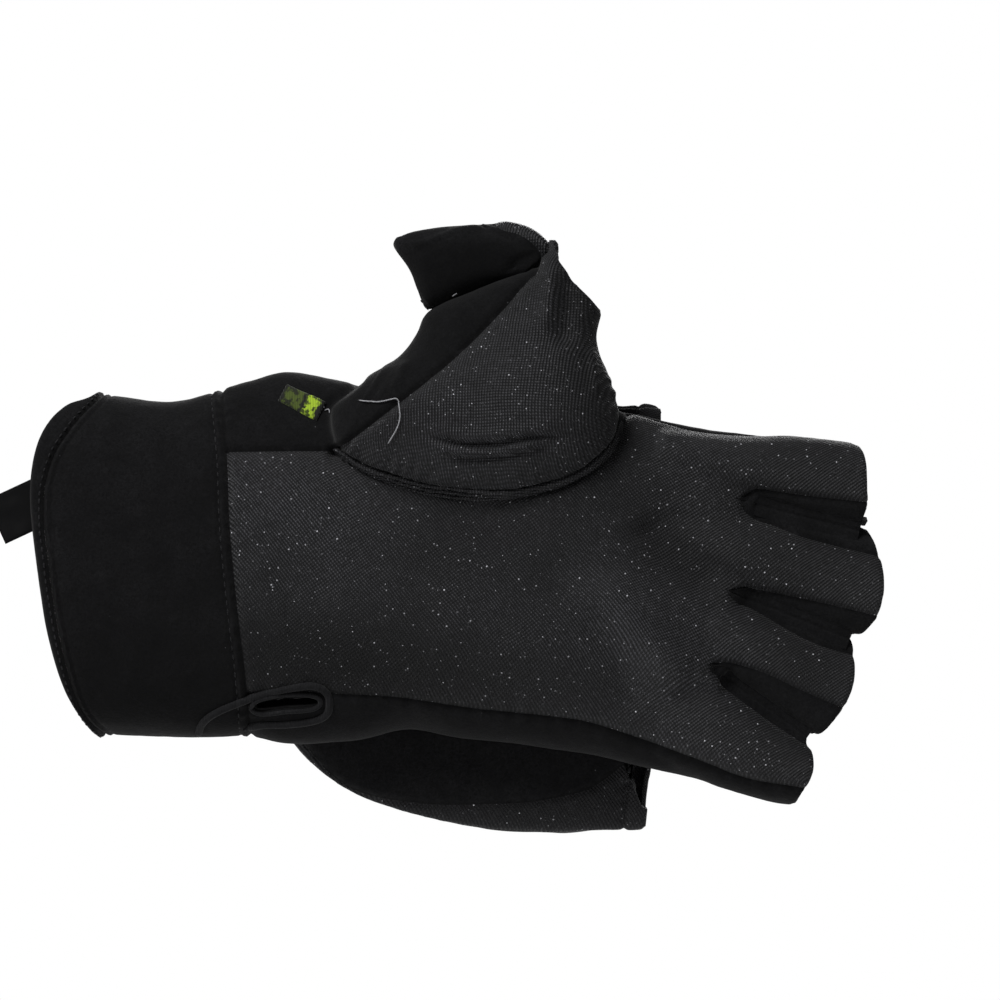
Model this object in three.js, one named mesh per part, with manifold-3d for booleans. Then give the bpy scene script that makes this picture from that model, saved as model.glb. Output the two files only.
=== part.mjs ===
// A convertible fishing glove of fleece-lined neoprene, drawn in the form it takes when worn.
// Millimetres, +Z up. X runs from the wrist edge to the finger ends, Z from the little finger's
// side up to the thumb's, and the palm faces -Y. The origin is the middle of the wrist opening.
// The glove is one hollow form, made of lofted trunk, finger stalls and thumb stall. Its skin is
// cut along the seams into the panels that the glove is sewn from, and the trims lie on that skin.
import * as THREE from "three";
import { mergeVertices } from "three/addons/utils/BufferGeometryUtils.js";
import Module from "manifold-3d";

const cuffLength = 54; // wrist edge to cuff seam
const handLength = 179; // cuff seam to the longest stall's end
const palmWidth = 96.6; // thumb side to little finger's side, at the wrist
const gloveDepth = 44; // palm face to back face, at the palm
const stallDepth = 25; // palm face to back face of a finger stall
const wall = 2; // fleece-lined neoprene
const gap = 0.3; // between pieces that are sewn to each other
const stallGap = 0.6; // between two neighbouring finger stalls
const gussetReach = 4; // how far the gussets reach past the glove's middle plane

const hemWidth = 5.3; // rolled wrist hem
const hemProud = 0.5;
const seamWidth = 2.6; // rolled seam round the thumb's root
const seamProud = 1.5;
const bindingWidth = 2.6; // bound edge of the wrist slit
const bindingProud = 1.2;
const slitWidth = 3.4;
const patchLength = 12.5; // plain two-tone patch on the thumb side
const patchHeight = 6;
const patchTurn = 24; // degrees, down towards the fingers
const patchThick = 0.7;
const labelLength = 12; // bare label that hangs out from under the wrist hem
const labelTuck = 4.5; // length held under the hem
const labelHeight = 13.5;
const labelTurn = 25; // degrees, its free end down
const labelThick = 0.8;

const hoodWall = 1.8; // mitten hood, folded back over the back of the glove
const hoodDepth = 36; // the glove's middle plane to the hood's outer face
const hoodMargin = 7; // the outer layer's turn-over that shows beyond the hood's edge seam
const hoodHemWidth = 6;
const capWall = 1.6; // thumb cap, folded back off the thumb stall
const capDepth = 15;
const capMouthRoom = 1; // between the cap's wall and the edge of the cut that opens it

const trunkSides = 26;
const stallSides = 16;
const thumbSides = 20;
const hoodSides = 20;
const trunkSquare = 2.5; // how far sections are squared off: 2 is an ellipse
const limbSquare = 2.3;
const far = 300; // past every part of the glove

// Sections of the trunk. at is a share of cuffLength from the wrist edge, and in the second table
// of handLength from the cuff seam. top and low are shares of palmWidth from the middle line.
// palm, back and edge are shares of gloveDepth from the middle plane. slant is how much further
// along the top of a section lies than its low end.
const cuffSections = [
  { at: -0.24, slant: 0, top: 0.511, low: -0.505, palm: -0.47, back: 0.67, edge: 0.1 },
  { at: 0, slant: 0, top: 0.506, low: -0.5, palm: -0.48, back: 0.64, edge: 0.09 },
  { at: 0.31, slant: 0, top: 0.491, low: -0.489, palm: -0.5, back: 0.6, edge: 0.07 },
  { at: 0.67, slant: 0, top: 0.468, low: -0.494, palm: -0.5, back: 0.56, edge: 0.04 },
  { at: 0.9, slant: 0, top: 0.497, low: -0.496, palm: -0.485, back: 0.53, edge: 0.02 },
];
const handSections = [
  { at: 0.03, slant: 0, top: 0.531, low: -0.493, palm: -0.47, back: 0.51, edge: 0 },
  { at: 0.09, slant: 0, top: 0.555, low: -0.515, palm: -0.46, back: 0.5, edge: 0 },
  { at: 0.19, slant: 0, top: 0.52, low: -0.506, palm: -0.455, back: 0.48, edge: 0 },
  { at: 0.33, slant: 0, top: 0.48, low: -0.494, palm: -0.45, back: 0.48, edge: 0 },
  { at: 0.47, slant: 0, top: 0.463, low: -0.523, palm: -0.45, back: 0.48, edge: 0 },
  { at: 0.58, slant: 0.02, top: 0.445, low: -0.552, palm: -0.43, back: 0.46, edge: 0 },
  { at: 0.67, slant: 0.06, top: 0.4, low: -0.583, palm: -0.37, back: 0.41, edge: 0 },
  { at: 0.776, slant: 0.107, top: 0.368, low: -0.62, palm: -0.26, back: 0.27, edge: 0 },
];

// Rises and hollows of the palm. at and up place the middle, long and wide are its spread along
// and across, turn is its lean in degrees, and rise is a share of gloveDepth, towards the palm side.
const palmForms = [
  { at: 0.1, up: 0.16, long: 0.13, wide: 0.19, turn: 0, rise: 0.035 },
  { at: 0.36, up: -0.2, long: 0.24, wide: 0.13, turn: -6, rise: 0.04 },
  { at: 0.44, up: 0.06, long: 0.16, wide: 0.1, turn: -20, rise: -0.035 },
  { at: 0.7, up: 0.06, long: 0.1, wide: 0.08, turn: -45, rise: -0.05 },
  { at: 0.64, up: -0.2, long: 0.16, wide: 0.08, turn: -42, rise: 0.05 },
  { at: 0.66, up: 0.28, long: 0.11, wide: 0.09, turn: -10, rise: 0.035 },
];

// Lines between the finger stalls, from the index finger's outer side down to the little finger's.
// at is a share of handLength, depths are shares of stallDepth and the lines of palmWidth.
const stallSections = [
  { at: 0.659, palm: -0.56, back: 0.5, lines: [0.405, 0.244, 0.003, -0.184, -0.575] },
  { at: 0.791, palm: -0.54, back: 0.46, lines: [0.376, 0.182, -0.093, -0.362, -0.667] },
  { at: 0.876, palm: -0.56, back: 0.38, lines: [0.372, 0.141, -0.155, -0.477, -0.695] },
  { at: 1.031, palm: -0.6, back: 0.26, lines: [0.333, 0.069, -0.27, -0.687, -0.71] },
];

// Sections of the thumb stall, level ones, from its root up. up is a share of palmWidth, left and
// right of handLength, and palm and back of gloveDepth.
const thumbSections = [
  { up: 0.187, left: 0.341, right: 0.426, palm: -0.45, back: 0 },
  { up: 0.21, left: 0.29, right: 0.478, palm: -0.5, back: 0 },
  { up: 0.244, left: 0.228, right: 0.522, palm: -0.56, back: 0 },
  { up: 0.302, left: 0.171, right: 0.568, palm: -0.63, back: 0 },
  { up: 0.359, left: 0.146, right: 0.591, palm: -0.69, back: 0.02 },
  { up: 0.445, left: 0.15, right: 0.594, palm: -0.73, back: 0.06 },
  { up: 0.526, left: 0.197, right: 0.583, palm: -0.72, back: 0.09 },
  { up: 0.598, left: 0.257, right: 0.567, palm: -0.68, back: 0.07 },
  { up: 0.661, left: 0.284, right: 0.561, palm: -0.64, back: 0.04 },
  { up: 0.727, left: 0.304, right: 0.569, palm: -0.6, back: 0 },
  { up: 0.79, left: 0.377, right: 0.574, palm: -0.57, back: -0.07 },
  { up: 0.842, left: 0.452, right: 0.575, palm: -0.54, back: -0.1 },
  { up: 0.882, left: 0.479, right: 0.575, palm: -0.52, back: -0.12 },
  { up: 0.96, left: 0.485, right: 0.578, palm: -0.5, back: -0.12 },
];

// Sections of the mitten hood, from its closed tip at the wrist to its mouth at the knuckles.
const hoodSections = [
  { at: 0.02, top: 0.129, low: -0.22, palm: 0.5, back: 0.66, edge: 0.58 },
  { at: 0.033, top: 0.244, low: -0.336, palm: 0.42, back: 0.7, edge: 0.54 },
  { at: 0.058, top: 0.345, low: -0.45, palm: 0.3, back: 0.74, edge: 0.48 },
  { at: 0.097, top: 0.402, low: -0.553, palm: 0.22, back: 0.79, edge: 0.42 },
  { at: 0.16, top: 0.44, low: -0.647, palm: 0.16, back: 0.84, edge: 0.36 },
  { at: 0.256, top: 0.457, low: -0.718, palm: 0.12, back: 0.9, edge: 0.32 },
  { at: 0.38, top: 0.463, low: -0.765, palm: 0.1, back: 0.96, edge: 0.31 },
  { at: 0.504, top: 0.463, low: -0.777, palm: 0.1, back: 1, edge: 0.31 },
  { at: 0.645, top: 0.463, low: -0.768, palm: 0.12, back: 1, edge: 0.33 },
];

// Sections of the thumb cap, from its closed end to the fold at the thumb stall's opening.
// topAt, top and lowAt, low are the two ends of each. front and back are shares of capDepth.
const capSections = [
  { topAt: 0.245, top: 0.92, lowAt: 0.299, low: 0.727, front: -0.2, back: 0.2 },
  { topAt: 0.271, top: 0.945, lowAt: 0.309, low: 0.733, front: -0.38, back: 0.36 },
  { topAt: 0.31, top: 0.963, lowAt: 0.335, low: 0.755, front: -0.45, back: 0.45 },
  { topAt: 0.357, top: 0.971, lowAt: 0.378, low: 0.782, front: -0.5, back: 0.5 },
  { topAt: 0.411, top: 0.974, lowAt: 0.42, low: 0.805, front: -0.5, back: 0.5 },
  { topAt: 0.462, top: 0.95, lowAt: 0.455, low: 0.835, front: -0.46, back: 0.42 },
  { topAt: 0.489, top: 0.918, lowAt: 0.478, low: 0.865, front: -0.34, back: 0.25 },
];
const capMiddle = -0.3; // share of gloveDepth, from the middle plane

// Seams and cut edges, as the palm side shows them: at in shares of handLength from the cuff
// seam, up in shares of palmWidth. The wrist edge's at is in shares of cuffLength.
const wristEdge = {
  at: [0.35, 0.285, 0.15, 0.055, 0.0, -0.015, 0.02, 0.075, 0.155, 0.26, 0.37],
  up: [0.56, 0.492, 0.463, 0.405, 0.316, 0.187, 0, -0.2, -0.359, -0.468, -0.56],
};
const cuffSeam = {
  at: [-0.02, -0.02, -0.006, 0, 0.01, 0.024, 0.026],
  up: [0.62, 0.517, 0.316, 0.1, -0.101, -0.359, -0.6],
};
const fingerEnds = {
  at: [0.953, 0.975, 0.966, 0.99, 1.002, 0.972, 0.954, 0.958, 0.9, 0.885, 0.893, 0.85],
  up: [0.45, 0.23, 0.105, 0.088, -0.049, -0.203, -0.212, -0.316, -0.49, -0.5, -0.575, -0.76],
};
const stripSeam = { at: [-0.03, 0.147, 0.157], up: [0.325, 0.328, 0.32] };
const thumbSeam = {
  at: [0.157, 0.205, 0.256, 0.302, 0.349, 0.388, 0.426, 0.466, 0.504, 0.537, 0.566, 0.589, 0.605, 0.62],
  up: [0.32, 0.272, 0.236, 0.213, 0.202, 0.198, 0.201, 0.212, 0.23, 0.258, 0.296, 0.338, 0.4, 0.55],
};
const thumbSideSeam = {
  at: [0.157, 0.209, 0.264, 0.341, 0.442, 0.468, 0.468],
  up: [0.32, 0.388, 0.474, 0.675, 0.848, 0.89, 1.2],
};
const thumbCrease = { at: [0.157, 0.147, 0.197, 0.2], up: [0.32, 0.45, 0.53, 0.64] };
const thumbRootBack = { at: [0.197, 0.4, 0.59, 0.66], up: [0.53, 0.47, 0.45, 0.45] };
const thumbOpening = {
  at: [0.44, 0.44, 0.488, 0.503, 0.527, 0.569, 0.6],
  up: [1.2, 0.945, 0.925, 0.86, 0.802, 0.724, 0.68],
};
const palmLowSeam = {
  at: [-0.03, 0.085, 0.155, 0.256, 0.364, 0.504, 0.566, 0.634, 0.716, 0.784, 0.87, 0.95],
  up: [-0.375, -0.36, -0.365, -0.379, -0.408, -0.434, -0.457, -0.5, -0.557, -0.609, -0.635, -0.66],
};
const gussetOutlines = {
  gusset_index_middle: {
    at: [0.785, 0.8, 0.82, 0.907, 0.972, 1.06, 1.06, 0.989, 0.938, 0.884, 0.839, 0.79],
    up: [0.184, 0.213, 0.21, 0.191, 0.178, 0.16, 0.0, 0.034, 0.057, 0.08, 0.115, 0.145],
  },
  gusset_middle_ring: {
    at: [0.768, 0.785, 0.82, 0.884, 0.93, 0.98, 1.06, 1.06, 0.952, 0.912, 0.874, 0.825, 0.78],
    up: [-0.078, -0.072, -0.078, -0.101, -0.118, -0.141, -0.18, -0.29, -0.25, -0.23, -0.201, -0.147, -0.101],
  },
  gusset_ring_little: {
    at: [0.734, 0.755, 0.771, 0.82, 0.874, 0.93, 1.04, 1.04, 0.884, 0.839, 0.794, 0.757],
    up: [-0.284, -0.275, -0.282, -0.306, -0.356, -0.399, -0.48, -0.66, -0.503, -0.455, -0.397, -0.339],
  },
};
const slitLine = { at: [-0.03, 0.04, 0.085, 0.135], up: [-0.425, -0.402, -0.39, -0.388] };
const slitBinding = {
  at: [-0.047, -0.03, 0.016, 0.085, 0.13, 0.148, 0.13, 0.085, 0.02, -0.006],
  up: [-0.49, -0.43, -0.382, -0.354, -0.354, -0.388, -0.422, -0.43, -0.455, -0.475],
};
const patchPlace = { at: 0.108, up: 0.463 };
const labelPlace = { at: -0.02, up: 0.17 }; // where it leaves the hem: shares of cuffLength, palmWidth

const wasm = await Module();
wasm.setup();

// Makes a closed geometry into a solid, with its faces turned out.
function solidOf(geometry) {
  geometry.deleteAttribute("normal");
  geometry.deleteAttribute("uv");
  const merged = mergeVertices(geometry, 1e-4);
  const triangles = new Uint32Array(merged.index.array);
  if (signedVolume(merged.attributes.position, triangles) < 0) {
    triangles.reverse();
  }
  const corners = new Float32Array(merged.attributes.position.array);
  return new wasm.Manifold(new wasm.Mesh({ numProp: 3, vertProperties: corners, triVerts: triangles }));
}

function signedVolume(position, triangles) {
  const a = new THREE.Vector3();
  const b = new THREE.Vector3();
  const c = new THREE.Vector3();
  let sum = 0;
  for (let i = 0; i < triangles.length; i += 3) {
    a.fromBufferAttribute(position, triangles[i]);
    b.fromBufferAttribute(position, triangles[i + 1]);
    c.fromBufferAttribute(position, triangles[i + 2]);
    sum += a.dot(b.cross(c)) / 6;
  }
  return sum;
}

function joined(solids) {
  return solids.reduce((all, solid) => all.add(solid));
}

// The share of a form's rise that reaches a point, as a bell that falls off with its spreads.
function bell(form, x, z) {
  const turn = THREE.MathUtils.degToRad(form.turn);
  const dx = x - alongHand(form.at);
  const dz = z - form.up * palmWidth;
  const along = (dx * Math.cos(turn) + dz * Math.sin(turn)) / (form.long * handLength);
  const across = (dz * Math.cos(turn) - dx * Math.sin(turn)) / (form.wide * palmWidth);
  return Math.exp(-along * along - across * across);
}

function palmRise(x, z) {
  return palmForms.reduce((sum, form) => sum + form.rise * gloveDepth * bell(form, x, z), 0);
}

function alongCuff(share) {
  return share * cuffLength;
}

function alongHand(share) {
  return cuffLength + share * handLength;
}

// Adds sections between those of a table, on a smooth curve through them.
function filled(sections, steps) {
  const names = Object.keys(sections[0]);
  const last = sections.length - 1;
  const rows = [];
  for (let i = 0; i < last; i++) {
    const near = [Math.max(i - 1, 0), i, i + 1, Math.min(i + 2, last)].map((k) => sections[k]);
    for (let step = 0; step < steps; step++) {
      const t = step / steps;
      rows.push(Object.fromEntries(names.map((name) => [name, between(near.map((s) => s[name]), t)])));
    }
  }
  rows.push(sections[last]);
  return rows;
}

// Catmull-Rom value between the second and third of four values.
function between([a, b, c, d], t) {
  const bend = (2 * a - 5 * b + 4 * c - d) * t * t + (3 * b - a - 3 * c + d) * t * t * t;
  return b + 0.5 * ((c - a) * t + bend);
}

// One closed section: two ends in the XZ plane, and the depths of its palm and back faces.
// It is grown by offset on all sides, and square rounds it (2 is an ellipse).
function ring({ x1, z1, x2, z2, palm, back, edge, square }, offset, sides, rise) {
  const half = new THREE.Vector2(x1 - x2, z1 - z2).multiplyScalar(0.5);
  const reach = Math.max(half.length() + offset, 0.3);
  half.normalize();
  const middleX = (x1 + x2) / 2;
  const middleZ = (z1 + z2) / 2;
  const points = [];
  for (let i = 0; i < sides; i++) {
    const turn = (2 * Math.PI * i) / sides;
    const across = rounded(Math.cos(turn), square) * reach;
    const depth = rounded(Math.sin(turn), square);
    const room = Math.max((depth < 0 ? edge - palm : back - edge) + offset, 0.3);
    const x = middleX + half.x * across;
    const z = middleZ + half.y * across;
    const lift = depth < 0 && rise ? rise(x, z) * -depth : 0;
    points.push(new THREE.Vector3(x, edge + room * depth - lift, z));
  }
  return points;
}

function rounded(value, square) {
  return Math.sign(value) * Math.abs(value) ** (2 / square);
}

// Depth of the trunk's palm face at a height, in one section grown by offset.
function palmFace(section, z, offset) {
  const middle = ((section.top + section.low) / 2) * palmWidth;
  const reach = ((section.top - section.low) / 2) * palmWidth + offset;
  const room = (section.edge - section.palm) * gloveDepth + offset;
  const share = Math.min(Math.abs((z - middle) / reach), 1);
  return section.edge * gloveDepth - room * (1 - share ** trunkSquare) ** (1 / trunkSquare);
}

// A closed solid through a row of rings.
function loft(rings) {
  const sides = rings[0].length;
  const corners = rings.flat();
  const faces = [];
  for (let i = 0; i < rings.length - 1; i++) {
    for (let k = 0; k < sides; k++) {
      const a = i * sides + k;
      const b = i * sides + ((k + 1) % sides);
      faces.push(a, b, a + sides, b, b + sides, a + sides);
    }
  }
  [0, rings.length - 1].forEach((end) => {
    const middle = new THREE.Vector3();
    rings[end].forEach((point) => middle.addScaledVector(point, 1 / sides));
    corners.push(middle);
    for (let k = 0; k < sides; k++) {
      const a = end * sides + k;
      const b = end * sides + ((k + 1) % sides);
      faces.push(...(end ? [a, b, corners.length - 1] : [b, a, corners.length - 1]));
    }
  });
  const geometry = new THREE.BufferGeometry().setFromPoints(corners).setIndex(faces);
  return solidOf(geometry);
}

function trunkRows() {
  const cuff = cuffSections.map((s) => ({ ...s, x: alongCuff(s.at) }));
  const hand = handSections.map((s) => ({ ...s, x: alongHand(s.at) }));
  return filled([...cuff, ...hand], 1);
}

function trunk(offset) {
  const rows = trunkRows();
  const rings = rows.map((row, i) => {
    const shift = i === 0 || i === rows.length - 1 ? offset : 0;
    const lean = (row.slant * handLength) / 2;
    return ring(
      {
        x1: row.x + lean + shift,
        z1: row.top * palmWidth,
        x2: row.x - lean + shift,
        z2: row.low * palmWidth,
        palm: row.palm * gloveDepth,
        back: row.back * gloveDepth,
        edge: row.edge * gloveDepth,
        square: trunkSquare,
      },
      offset,
      trunkSides,
      palmRise,
    );
  });
  return loft(rings);
}

function stall(finger, offset) {
  const rows = stallSections.map((s) => ({
    at: s.at,
    palm: s.palm,
    back: s.back,
    top: s.lines[finger],
    low: s.lines[finger + 1],
  }));
  const inner = stallGap / 2;
  const rings = filled(rows, 1).map((row) => {
    const x = alongHand(row.at);
    const palm = row.palm * stallDepth;
    const back = row.back * stallDepth;
    const z1 = row.top * palmWidth - inner;
    const z2 = row.low * palmWidth + inner;
    const edge = (palm + back) / 2;
    return ring({ x1: x, z1, x2: x, z2, palm, back, edge, square: limbSquare }, offset, stallSides);
  });
  return loft(rings);
}

function thumb(offset) {
  const rings = filled(thumbSections, 1).map((row) => {
    const z = row.up * palmWidth;
    const palm = row.palm * gloveDepth;
    const back = row.back * gloveDepth;
    const edge = (palm + back) / 2;
    const x1 = alongHand(row.right);
    const x2 = alongHand(row.left);
    return ring({ x1, z1: z, x2, z2: z, palm, back, edge, square: limbSquare }, offset, thumbSides);
  });
  return loft(rings);
}

// The whole hollow form's outer solid, grown by offset, or its inside when offset is minus a wall.
function form(offset) {
  const stalls = [0, 1, 2, 3].map((finger) => stall(finger, offset));
  return joined([trunk(offset), thumb(offset), ...stalls]);
}

// Points of a line or outline in X and Z. A negative shift of its places along X moves it left.
function points(line, along = alongHand, shift = 0) {
  return line.at.map((at, i) => new THREE.Vector2(along(at) + shift, line.up[i] * palmWidth));
}

// A prism through the glove: the outline in X and Z, from one depth to another along Y.
function prism(outline, from, to) {
  const geometry = new THREE.ExtrudeGeometry(new THREE.Shape(outline), {
    depth: to - from,
    bevelEnabled: false,
  });
  geometry.rotateX(Math.PI / 2);
  geometry.translate(0, to, 0);
  return solidOf(geometry);
}

// The outline of a strip that follows a line.
function strip(line, width) {
  const left = [];
  const right = [];
  line.forEach((point, i) => {
    const ahead = line[Math.min(i + 1, line.length - 1)];
    const behind = line[Math.max(i - 1, 0)];
    const side = ahead.clone().sub(behind).normalize();
    const normal = new THREE.Vector2(-side.y, side.x).multiplyScalar(width / 2);
    left.push(point.clone().add(normal));
    right.push(point.clone().sub(normal));
  });
  return [...left, ...right.reverse()];
}

// An outline moved out by a distance, or in when it is negative.
function grown(outline, by) {
  const sign = THREE.ShapeUtils.isClockWise(outline) ? 1 : -1;
  return outline.map((point, i) => {
    const ahead = outline[(i + 1) % outline.length].clone().sub(point).normalize();
    const behind = point.clone().sub(outline.at(i - 1)).normalize();
    const normal = new THREE.Vector2(-ahead.y - behind.y, ahead.x + behind.x).normalize();
    const miter = Math.max(normal.x * -behind.y + normal.y * behind.x, 0.4);
    return normal.multiplyScalar((sign * by) / miter).add(point);
  });
}

function corner(x, z) {
  return new THREE.Vector2(x, z);
}

// A rectangle that reaches left and right of a place, turned about that place by degrees.
function rectangle(left, right, height, place, degrees) {
  const corners = [corner(-left, -height / 2), corner(right, -height / 2)];
  corners.push(corner(right, height / 2), corner(-left, height / 2));
  const turn = THREE.MathUtils.degToRad(degrees);
  return corners.map((point) => point.rotateAround(corner(0, 0), turn).add(place));
}

// Everything to one side of a line that runs from top to bottom.
function leftOf(line) {
  return [...line, corner(-far, line.at(-1).y), corner(-far, line[0].y)];
}

function rightOf(line) {
  return [...line, corner(far * 2, line.at(-1).y), corner(far * 2, line[0].y)];
}

const outside = form(0);
const hollow = form(-wall);
const beyondEnds = prism(rightOf(points(fingerEnds)), -far, far);
const thumbMouth = prism(rightOf(points(thumbOpening)), -far, far);
const trimmed = outside.subtract(hollow).subtract(beyondEnds).subtract(thumbMouth);

// Where the panels part. Each seam leaves the gap that sewn edges keep.
const cuffSide = prism(leftOf(points(cuffSeam)), -far, far);
const cuffSeamCut = prism(strip(points(cuffSeam), gap), -far, far);
const seamCuts = joined([
  cuffSide,
  cuffSeamCut,
  prism(strip(points(stripSeam), gap), -far, 0),
  prism(strip(points(thumbSeam), gap), -far, 0),
  prism(strip(points(thumbSideSeam), gap), -far, gap / 2),
  prism(strip(points(thumbCrease), gap), -far, gap / 2),
  prism(strip(points(thumbRootBack), gap), -gap / 2, far),
  prism(strip(points(palmLowSeam), gap), -far, 0),
]);
const hand = trimmed.subtract(seamCuts);

const palmOutline = [
  ...points(stripSeam),
  ...points(thumbSeam).slice(1),
  corner(alongHand(0.61), 0.7 * palmWidth),
  corner(alongHand(1.1), 0.7 * palmWidth),
  corner(alongHand(1.1), -0.66 * palmWidth),
  ...points(palmLowSeam).reverse(),
];
const thumbFront = [
  ...points(thumbSeam),
  corner(alongHand(0.61), 1.2 * palmWidth),
  corner(alongHand(0.2), 1.2 * palmWidth),
  ...points(thumbCrease).reverse().slice(0, -1),
];
const thumbBehind = [
  ...points(thumbRootBack),
  corner(alongHand(0.66), 1.2 * palmWidth),
  corner(alongHand(0.2), 1.2 * palmWidth),
];
const thumbPalmSide = [
  ...points(thumbSeam),
  corner(alongHand(0.61), 1.2 * palmWidth),
  ...points(thumbSideSeam).reverse().slice(0, -1),
];

const gussets = Object.entries(gussetOutlines).map(([name, outline]) => ({
  name,
  region: prism(points(outline), -far, gussetReach),
}));
const gussetRoom = joined(
  Object.values(gussetOutlines).map((outline) => {
    return prism(grown(points(outline), gap), -far, gussetReach + gap);
  }),
);

const slit = prism(strip(points(slitLine), slitWidth), -far, 0);
const body = hand.subtract(slit);
const palmRegion = prism(palmOutline, -far, -gap / 2);
const palmAndSeam = prism(palmOutline, -far, gap / 2);
const thumbRegion = prism(thumbFront, -far, 0).add(prism(thumbBehind, 0, far));
const thumbPanelRegion = prism(thumbPalmSide, -far, -gloveDepth * 0.3);
const thumbPanelAndSeam = prism(thumbPalmSide, -far, gap - gloveDepth * 0.3);

const palmPanel = body.intersect(palmRegion).subtract(gussetRoom).subtract(thumbRegion);
const thumbPanel = body.intersect(thumbPanelRegion);
const thumbBack = body.intersect(thumbRegion).subtract(thumbPanelAndSeam);
const backPanel = body.subtract(palmAndSeam).subtract(thumbRegion).subtract(gussetRoom);

// The cuff and its rolled hem, which stands a little proud on both faces of the band.
const wristLine = points(wristEdge, alongCuff);
const hemLine = points(wristEdge, alongCuff, hemWidth);
const bandLine = points(wristEdge, alongCuff, hemWidth + gap);
const cuffBand = trimmed
  .intersect(cuffSide)
  .subtract(cuffSeamCut)
  .subtract(prism(leftOf(bandLine), -far, far))
  .subtract(slit);
const cuffHem = form(hemProud)
  .subtract(form(-wall - hemProud))
  .intersect(prism(leftOf(hemLine), -far, far))
  .subtract(prism(leftOf(wristLine), -far, far));

// Trims that lie on the skin.
const clear = form(gap);
const thumbRoll = form(gap + seamProud)
  .subtract(clear)
  .intersect(prism(strip(points(thumbSeam), seamWidth), -far, -gloveDepth * 0.1));
const slitEdge = form(gap + bindingProud)
  .subtract(clear)
  .intersect(prism(strip(points(slitBinding), bindingWidth), -far, 0));
const patchMiddle = corner(alongHand(patchPlace.at), patchPlace.up * palmWidth);
const patchOutline = rectangle(patchLength / 2, patchLength / 2, patchHeight, patchMiddle, -patchTurn);
const patch = form(gap + patchThick)
  .subtract(clear)
  .intersect(prism(patchOutline, -far, 0));

// The label lies flat behind the hem's inner face, and clears it at its highest corner.
const labelRoot = corner(alongCuff(labelPlace.at), labelPlace.up * palmWidth);
const labelOutline = rectangle(labelLength, labelTuck, labelHeight, labelRoot, labelTurn);
const labelTop = Math.max(...labelOutline.map((point) => point.y));
const labelFace = palmFace(cuffSections[1], labelTop, -wall - hemProud) + gap;
const label = prism(labelOutline, labelFace, labelFace + labelThick);

// The mitten hood: a flat pouch that lies on the glove's back, open towards the fingers.
function hoodRings(offset, mouthShift) {
  const rows = filled(hoodSections, 1);
  return rows.map((row, i) => {
    const x = alongHand(row.at) + (i === rows.length - 1 ? mouthShift : 0) + (i === 0 ? -offset : 0);
    const z1 = row.top * palmWidth;
    const z2 = row.low * palmWidth;
    const palm = row.palm * hoodDepth;
    const back = row.back * hoodDepth;
    const edge = row.edge * hoodDepth;
    return ring({ x1: x, z1, x2: x, z2, palm, back, edge, square: limbSquare }, offset, hoodSides);
  });
}

const hoodPouch = loft(hoodRings(0, 0)).subtract(clear);
const hoodPocket = loft(hoodRings(-hoodWall, hoodWall)).subtract(form(gap + hoodWall));
const hoodSkin = hoodPouch.subtract(hoodPocket);
const hoodMouth = alongHand(hoodSections.at(-1).at);
const hoodEdgeLine = hoodSections.map((s) => {
  return corner(alongHand(s.at), s.low * palmWidth + hoodMargin);
});
hoodEdgeLine.push(corner(hoodMouth + far, hoodEdgeLine.at(-1).y));
const hoodFrontSide = [...hoodEdgeLine, corner(hoodMouth + far, far), corner(hoodEdgeLine[0].x, far)];
const hoodSeamDepth = 0.31 * hoodDepth;
const hoodFrontRegion = prism(hoodFrontSide, -far, hoodSeamDepth).add(form(hoodWall + 2 * gap));
const hoodFrontAndSeam = prism(hoodFrontSide, -far, hoodSeamDepth + gap)
  .add(prism(strip(hoodEdgeLine, gap), -far, hoodSeamDepth + gap))
  .add(form(hoodWall + 3 * gap));
const hoodHemStart = hoodMouth - hoodHemWidth;
const hoodHemRegion = prism(rightOf([corner(hoodHemStart, far), corner(hoodHemStart, -far)]), -far, far);
const hoodHemAndSeam = prism(
  rightOf([corner(hoodHemStart - gap, far), corner(hoodHemStart - gap, -far)]),
  -far,
  far,
);

// The thumb cap: a small pouch, open at the fold beside the thumb stall's opening.
function capRings(offset) {
  const middle = capMiddle * gloveDepth;
  return filled(capSections, 1).map((row, i) => {
    const shift = i === 0 ? -offset : 0;
    const palm = middle + row.front * capDepth;
    const back = middle + row.back * capDepth;
    const x1 = alongHand(row.topAt) + shift;
    const x2 = alongHand(row.lowAt) + shift;
    const z1 = row.top * palmWidth;
    const z2 = row.low * palmWidth;
    return ring({ x1, z1, x2, z2, palm, back, edge: middle, square: limbSquare }, offset, stallSides);
  });
}

const capMouthDepth = capDepth / 2 - capWall - capMouthRoom;
const capMouth = prism(
  [
    corner(alongHand(0.412), 0.88 * palmWidth),
    corner(alongHand(0.47), 0.87 * palmWidth),
    corner(alongHand(0.55), 0.97 * palmWidth),
    corner(alongHand(0.412), 1.1 * palmWidth),
  ],
  capMiddle * gloveDepth - capMouthDepth,
  capMiddle * gloveDepth + capMouthDepth,
);
const cap = loft(capRings(0))
  .subtract(clear)
  .subtract(loft(capRings(-capWall)).add(capMouth).subtract(form(gap + capWall)));

function material(colour, roughness) {
  return new THREE.MeshStandardMaterial({ color: colour, roughness, metalness: 0 });
}

const glove = new THREE.Group();

function addPiece(name, solid, look) {
  const mesh = solid.getMesh();
  const position = new THREE.BufferAttribute(new Float32Array(mesh.vertProperties), mesh.numProp);
  const geometry = new THREE.BufferGeometry().setAttribute("position", position);
  geometry.setIndex(new THREE.BufferAttribute(new Uint32Array(mesh.triVerts), 1));
  geometry.computeVertexNormals();
  const piece = new THREE.Mesh(geometry, look);
  piece.name = name;
  glove.add(piece);
}

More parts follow.
